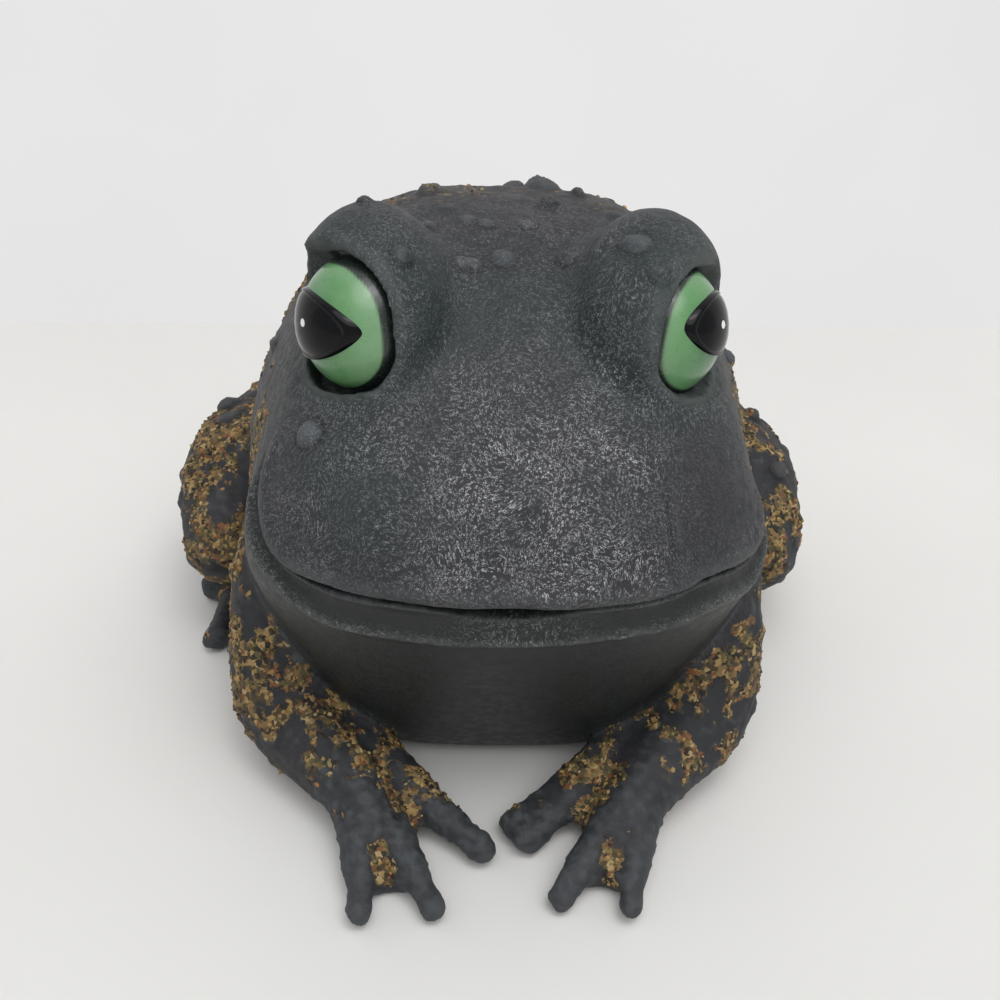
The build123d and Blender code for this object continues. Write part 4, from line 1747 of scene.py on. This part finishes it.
@dataclass
class Eye:
    """One eye: a satin dome and a raised almond pupil with a bevelled rim."""

    seat: EyeSeat
    half_lengths: dict[Side, float] = by_side(10.9, 13.0)
    half_heights: dict[Side, float] = by_side(6.1, 6.8)
    fullness: float = 1.14
    tilt: float = 10.0
    rises: dict[Side, float] = by_side(3.4, 1.3)
    around: int = 144
    dome_rings: int = 100
    bevel: tuple[tuple[float, float], ...] = (
        (1.0, -0.8), (0.995, 0.1), (0.975, 0.55), (0.945, 0.8), (0.915, 0.72), (0.895, 0.5), (0.87, 0.58),
        (0.8, 0.78), (0.65, 0.92), (0.45, 1.0), (0.2, 1.03),
    )
    dots: dict[Side, tuple[float, float]] = by_side((-2.7, 4.5), (-3.0, 3.0))

    def world(self, along: np.ndarray, up: np.ndarray, out: np.ndarray) -> np.ndarray:
        """Turn places given along the eye into the figure's frame.

        Args:
            along: How far backwards each place is.
            up: How far up.
            out: How far out.

        Returns:
            The places in millimetres, one row each.
        """
        seat = self.seat
        height = seat.middle + np.outer(up * seat.stretch - seat.drop, (0.0, 0.0, 1.0))
        return height + np.outer(along, seat.backwards) + np.outer(out, seat.outwards)

    def dome(self, material: bpy.types.Material) -> bpy.types.Object:
        """Build the green dome.

        Args:
            material: Its finish.

        Returns:
            The piece, standing for the eye's node.
        """
        rings = self.dome_rings
        radius = self.seat.radius
        tilt = np.linspace(0.0, math.pi, rings + 2)[1:-1]
        angle = np.arange(self.around) * 2 * math.pi / self.around
        along = np.outer(np.sin(tilt), np.cos(angle)).ravel() * radius
        up = np.outer(np.sin(tilt), np.sin(angle)).ravel() * radius
        out = np.repeat(np.cos(tilt), self.around) * radius
        along, up = np.append(along, (0.0, 0.0)), np.append(up, (0.0, 0.0))
        out = np.append(out, (radius, -radius))
        faces = self.rings_to_faces(rings)
        node = f"eye_{self.seat.side.label}"
        piece = new_piece(f"{node}_dome", self.world(along, up, out), faces)
        store(piece, "ring", np.clip(np.sqrt(along**2 + up**2) / radius, 0.0, 1.0))
        # Where the painted groove shadow lies on the dome.
        store(piece, "groove_shadow", smooth_step(self.seat.edge(along, up) - out, -0.3, 0.3))
        return self.finish(piece, material, node, "eye_green")

    def rings_to_faces(self, rings: int) -> list[tuple[int, ...]]:
        """Join rings of points, closed by two end points that come last.

        Args:
            rings: How many rings there are.

        Returns:
            The faces, which face outwards.
        """
        count = self.around
        faces = []
        for ring in range(rings - 1):
            for index in range(count):
                beside = (index + 1) % count
                low, high = ring * count, (ring + 1) * count
                faces.append((low + index, high + index, high + beside, low + beside))
        top, bottom = rings * count, rings * count + 1
        last = (rings - 1) * count
        for index in range(count):
            beside = (index + 1) % count
            faces.append((top, index, beside))
            faces.append((bottom, last + beside, last + index))
        if self.seat.side is Side.RIGHT:
            faces = [face[::-1] for face in faces]
        return faces

    def dot_place(self) -> tuple[float, ...]:
        """Where the white dot of paint is, in metres."""
        along, up = self.dots[self.seat.side]
        out = math.sqrt((self.seat.radius + 1.0) ** 2 - along**2 - up**2)
        spot = self.world(np.array([along]), np.array([up]), np.array([out]))[0]
        return tuple(float(part) * MM for part in spot)

    def pupil(self, material: bpy.types.Material) -> bpy.types.Object:
        """Build the pupil on the dome.

        Args:
            material: Its finish.

        Returns:
            The piece, standing for the pupil's node.
        """
        sweep = np.arange(self.around) * 2 * math.pi / self.around
        height = np.abs(np.sin(sweep)) ** self.fullness * np.sign(np.sin(sweep))
        side = self.seat.side
        length, height = self.half_lengths[side] * np.cos(sweep), self.half_heights[side] * height
        turn = math.radians(self.tilt)
        middle = self.rises[side]
        along = length * math.cos(turn) + height * math.sin(turn)
        up = -length * math.sin(turn) + height * math.cos(turn)
        radius = self.seat.radius
        all_along, all_up, all_out = [], [], []
        for share, proud in reversed(self.bevel):
            all_along.append(along * share)
            all_up.append(up * share + middle)
            square = (radius + proud) ** 2 - (along * share) ** 2 - (up * share + middle) ** 2
            all_out.append(np.sqrt(np.maximum(square, 1.0)))
        ends = (math.sqrt((radius + self.bevel[-1][1]) ** 2 - middle**2), 2.0)
        flat_along = np.append(np.concatenate(all_along), (0.0, 0.0))
        flat_up = np.append(np.concatenate(all_up), (middle, middle))
        flat_out = np.append(np.concatenate(all_out), ends)
        faces = self.rings_to_faces(len(self.bevel))
        node = f"pupil_{side.label}"
        piece = new_piece(f"{node}_gloss", self.world(flat_along, flat_up, flat_out), faces)
        return self.finish(piece, material, node, "pupil_black")

    def finish(
        self, piece: bpy.types.Object, material: bpy.types.Material, node: str, slot: str
    ) -> bpy.types.Object:
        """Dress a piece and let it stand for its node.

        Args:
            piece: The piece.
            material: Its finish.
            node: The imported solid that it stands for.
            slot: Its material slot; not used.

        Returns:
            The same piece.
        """
        piece.data.materials.append(material)
        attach(piece, ROOT)
        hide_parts(node)
        LOG.info("%s: %d faces", piece.name, len(piece.data.polygons))
        return piece


@dataclass
class Studio:
    """Floor, backdrop, lamps and camera."""

    yaw: float = -3.1
    elevation: float = 33.8
    roll: float = 2.7
    distance: float = 303.0
    target: tuple[float, float, float] = (-0.4, -19.2, 65.4)
    lens: float = 45.18
    wall_y: float = 211.3
    wall_turn: float = 0.0391
    reach: float = 4.0
    wall_height: float = 2.5
    floor_colour: tuple[float, ...] = tint(232, 231, 228)
    wall_colour: tuple[float, ...] = tint(233, 232, 232)
    sun_power: float = 1.25
    sun_angle: float = 55.0
    sun_turn: tuple[float, float, float] = (22.0, 8.0, 0.0)
    lamp_place: tuple[float, float, float] = (0.15, -0.35, 0.95)
    lamp_aim: tuple[float, float, float] = (0.0, 0.0, 0.08)
    lamp_size: tuple[float, float] = (0.35, 0.25)
    lamp_power: float = 1.1
    sky_light: float = 0.56
    sky_seen: float = 0.82
    sky_colour: tuple[float, float, float, float] = (0.97, 0.98, 1.0, 1.0)

    def camera(self) -> None:
        """Put the camera where the photograph was taken."""
        turn, climb, lean = (math.radians(angle) for angle in (self.yaw, self.elevation, self.roll))
        level = math.cos(climb)
        forwards = Vector((-math.sin(turn) * level, math.cos(turn) * level, -math.sin(climb)))
        right = Vector((math.cos(turn), math.sin(turn), 0.0))
        upwards = right.cross(forwards)
        leaned = right * math.cos(lean) + upwards * math.sin(lean)
        raised = upwards * math.cos(lean) - right * math.sin(lean)
        data = bpy.data.cameras.new("camera")
        data.lens = self.lens
        data.sensor_width = 36.0
        data.clip_start = 0.01
        camera = bpy.data.objects.new("camera", data)
        bpy.context.scene.collection.objects.link(camera)
        turned = Matrix((leaned, raised, -forwards)).transposed().to_4x4()
        turned.translation = (Vector(self.target) - forwards * self.distance) * MM
        camera.matrix_world = turned
        bpy.context.scene.camera = camera

    def sheet(
        self, name: str, corners: list[tuple[float, float, float]], colour: tuple[float, ...], wall: bool
    ) -> None:
        """Lay one flat sheet of the stage.

        Args:
            name: The sheet's name.
            corners: Its corners in metres.
            colour: Its colour.
            wall: Whether it is the backdrop, which shows that colour whatever light falls on it.
        """
        mesh = bpy.data.meshes.new(name)
        mesh.from_pydata(corners, [], [(0, 1, 2, 3)])
        piece = bpy.data.objects.new(name, mesh)
        bpy.context.scene.collection.objects.link(piece)
        material, graph, shader = Finish.start(name)
        cloud = graph.rise(graph.cloud(graph.place(), 7.0, 3.0), 0.3, 0.75)
        darker = tuple(part * 0.965 for part in colour[:3]) + (1.0,)
        graph.feed(shader, "Base Color", graph.blend(cloud, darker, colour))
        shader.inputs["Roughness"].default_value = 0.6
        shader.inputs["Specular IOR Level"].default_value = 0.2
        if wall:
            path = graph.add("ShaderNodeLightPath").outputs
            seen = graph.math("MAXIMUM", path["Is Camera Ray"], path["Is Glossy Ray"])
            seen = graph.math("MAXIMUM", seen, path["Is Transmission Ray"])
            shown = graph.blend(cloud, darker, colour)
            plain = graph.add("ShaderNodeEmission", {"Color": shown, "Strength": 1.0})
            front = graph.add("ShaderNodeMixShader", {0: seen, 1: shader.outputs[0], 2: plain.outputs[0]})
            behind = graph.add("ShaderNodeNewGeometry").outputs["Backfacing"]
            clear = graph.add("ShaderNodeBsdfTransparent")
            both = graph.add("ShaderNodeMixShader", {0: behind, 1: front.outputs[0], 2: clear.outputs[0]})
            output = next(node for node in graph.tree.nodes if node.type == "OUTPUT_MATERIAL")
            graph.feed(output, "Surface", both.outputs[0])
        mesh.materials.append(material)

    def softbox(self) -> None:
        """Hang the soft lamp."""
        data = bpy.data.lights.new("softbox", "AREA")
        data.shape = "RECTANGLE"
        data.size, data.size_y = self.lamp_size
        data.energy = self.lamp_power
        lamp = bpy.data.objects.new("softbox", data)
        lamp.location = self.lamp_place
        aim = Vector(self.lamp_aim) - Vector(self.lamp_place)
        lamp.rotation_euler = aim.to_track_quat("-Z", "Y").to_euler()
        bpy.context.scene.collection.objects.link(lamp)

    def build(self) -> None:
        """Set up the whole stage."""
        wide, high = self.reach, self.wall_height
        left = (self.wall_y - self.wall_turn * wide / MM) * MM
        right = (self.wall_y + self.wall_turn * wide / MM) * MM
        floor = [(-wide, -wide, 0), (wide, -wide, 0), (wide, wide, 0), (-wide, wide, 0)]
        self.sheet("floor", floor, self.floor_colour, False)
        wall = [(-wide, left, 0), (wide, right, 0), (wide, right, high), (-wide, left, high)]
        self.sheet("backdrop", wall, self.wall_colour, True)
        sun = bpy.data.lights.new("window", "SUN")
        sun.energy = self.sun_power
        sun.angle = math.radians(self.sun_angle)
        window = bpy.data.objects.new("window", sun)
        window.rotation_euler = tuple(math.radians(angle) for angle in self.sun_turn)
        bpy.context.scene.collection.objects.link(window)
        self.softbox()
        world = bpy.data.worlds.new("studio")
        world.use_nodes = True
        graph = Graph(world.node_tree)
        path = graph.add("ShaderNodeLightPath").outputs["Is Camera Ray"]
        levels = {"Value": path, "To Min": self.sky_light, "To Max": self.sky_seen}
        strength = graph.add("ShaderNodeMapRange", levels).outputs[0]
        background = graph.add("ShaderNodeBackground", {"Color": self.sky_colour, "Strength": strength})
        graph.add("ShaderNodeOutputWorld", {"Surface": background.outputs[0]})
        bpy.context.scene.world = world
        bpy.context.scene.view_settings.view_transform = "Standard"
        self.camera()


HEAD_WARTS = (
    Wart((-23.6, -32.4, 132.7), 2.0), Wart((-10.9, -17.9, 125.3), 1.7), Wart((-8.6, -17.6, 125.2), 1.5),
    Wart((-2.0, -15.0, 125.7), 2.2), Wart((12.1, -16.1, 125.6), 1.9), Wart((-18.5, -3.5, 127.3), 1.7),
    Wart((24.9, -28.9, 135.4), 2.2, 0.6), Wart((23.2, -28.4, 135.6), 1.8, 0.5),
    Wart((28.0, -35.7, 130.7), 1.8), Wart((-42.0, -45.2, 98.3), 2.6, 0.3),
    Wart((-31.5, -17.0, 137.0), 1.6), Wart((-18.5, 22.5, 124.8), 3.4, 0.6),
    Wart((9.0, 30.0, 124.5), 4.8, 0.6), Wart((17.1, 21.8, 125.1), 1.9), Wart((-14.3, 7.3, 126.7), 1.6),
    Wart((-9.8, 0.5, 127.8), 1.5), Wart((9.3, 12.0, 127.1), 2.1), Wart((-5.3, -1.2, 127.9), 1.4),
    Wart((4.0, -1.2, 127.9), 1.4), Wart((24.0, 8.0, 124.0), 1.7), Wart((-27.0, 12.0, 122.0), 2.0),
    Wart((3.0, 48.0, 120.0), 3.2), Wart((-22.0, 52.0, 113.0), 2.6), Wart((27.0, 44.0, 114.0), 3.0),
    Wart((-38.0, 30.0, 108.0), 2.3), Wart((41.0, 20.0, 107.0), 2.4), Wart((12.0, 66.0, 104.0), 2.6),
    Wart((-12.0, 72.0, 97.0), 3.0), Wart((-33.0, 66.0, 88.0), 2.3), Wart((35.0, 62.0, 92.0), 2.7),
    Wart((-50.0, 40.0, 84.0), 2.6), Wart((52.0, 32.0, 86.0), 2.2), Wart((22.0, 80.0, 72.0), 2.4),
    Wart((-20.0, 84.0, 66.0), 2.1), Wart((-55.0, 8.0, 92.0), 1.9), Wart((55.0, 2.0, 94.0), 2.1),
)
LEG_WARTS = {
    "front_leg_right": tuple(
        Wart((-40.5 + 2.3 * math.cos(turn), -50.0, 43.3 + 2.3 * math.sin(turn)), 1.15, 0.1)
        for turn in np.linspace(0.0, 2 * math.pi, 9)[:-1]
    ),
    "front_leg_left": (Wart((46.0, -46.0, 38.0), 2.2), Wart((52.0, -44.0, 52.0), 1.7)),
    "hind_leg_left": (
        Wart((80.0, 20.0, 52.0), 2.6), Wart((76.0, 44.0, 56.0), 2.2), Wart((72.0, 60.0, 50.0), 2.8),
    ),
    "hind_leg_right": (
        Wart((-80.0, 24.0, 52.0), 2.4), Wart((-77.0, 46.0, 55.0), 2.6), Wart((-70.0, 62.0, 50.0), 2.2),
    ),
}


def leg_grid(node: str, spacing: float) -> Grid:
    """An even grid round one leg.

    Args:
        node: The leg's node.
        spacing: How far apart the samples are, in millimetres.

    Returns:
        The grid.
    """
    low, high = (np.array(corner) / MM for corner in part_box(node))
    low, high = low - LEG_SPARE, high + LEG_SPARE
    return Grid(*(places([(start, spacing)], end) for start, end in zip(low, high)))


def body_grid(fine: float, coarse: float) -> Grid:
    """The grid of head and body, finest round the eyes and the mouth.

    Args:
        fine: Spacing on the head in millimetres.
        coarse: Spacing on the body.

    Returns:
        The grid.
    """
    low, high = (np.array(corner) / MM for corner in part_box("body_shell"))
    low, high = low - BODY_SPARE, high + BODY_SPARE
    sides = [(low[0], coarse), (-HEAD_HALF_WIDTH, fine), (HEAD_HALF_WIDTH, coarse)]
    across = places(sides, high[0])
    along = places([(low[1], fine), (HEAD_BACK, coarse)], high[1])
    up = places([(-BODY_SPARE, coarse), (HEAD_BOTTOM, fine)], high[2])
    return Grid(across, along, up)


def main() -> None:
    """Build and dress every piece of the figurine, then set the stage."""
    logging.basicConfig(level=logging.INFO, format="%(message)s")
    sculpture = Sculpture()
    wash = Wash()
    skin = SkinFinish("painted_casting").build()
    leg_skin = SkinFinish("painted_leg_casting", roughness=0.68).build()
    granules = GritFinish().build()
    pearl = PearlFinish().build()
    grid = body_grid(HEAD_SPACING, BODY_SPACING)
    castings = [(Casting("body_shell", "casting", grid, sculpture, wash, HEAD_WARTS), skin)]
    for node in sculpture.legs:
        grid = leg_grid(node, ARM_SPACING if node.startswith("front") else THIGH_SPACING)
        casting = Casting(node, "leg_casting", grid, sculpture, wash, LEG_WARTS[node])
        castings.append((casting, leg_skin))
    for casting, material in castings:
        piece = casting.build(material)
        grit = GritScatter().scatter(piece, f"grit_{casting.node}", granules)
        LOG.info("%s: %d faces", grit.name, len(grit.data.polygons))
    for seat in sculpture.seats.values():
        eye = Eye(seat)
        eye.dome(pearl)
        eye.pupil(PupilFinish(f"gloss_black_{seat.side.label}", eye.dot_place()).build())
    underside = FeltFinish("closing_sheet", tint(40, 40, 41), tint(52, 52, 52), 400.0, 0.0).build()
    felt = FeltFinish("felt_pad", tint(38, 44, 40), tint(60, 68, 62), 1400.0, 0.4).build()
    for node, material in (("belly_plate", underside), ("base_pad", felt)):
        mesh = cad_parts[node].data
        mesh.materials.clear()
        mesh.materials.append(material)
        LOG.info("%s: packed solid dressed", node)
    Studio().build()


if __name__ == "__main__":
    main()
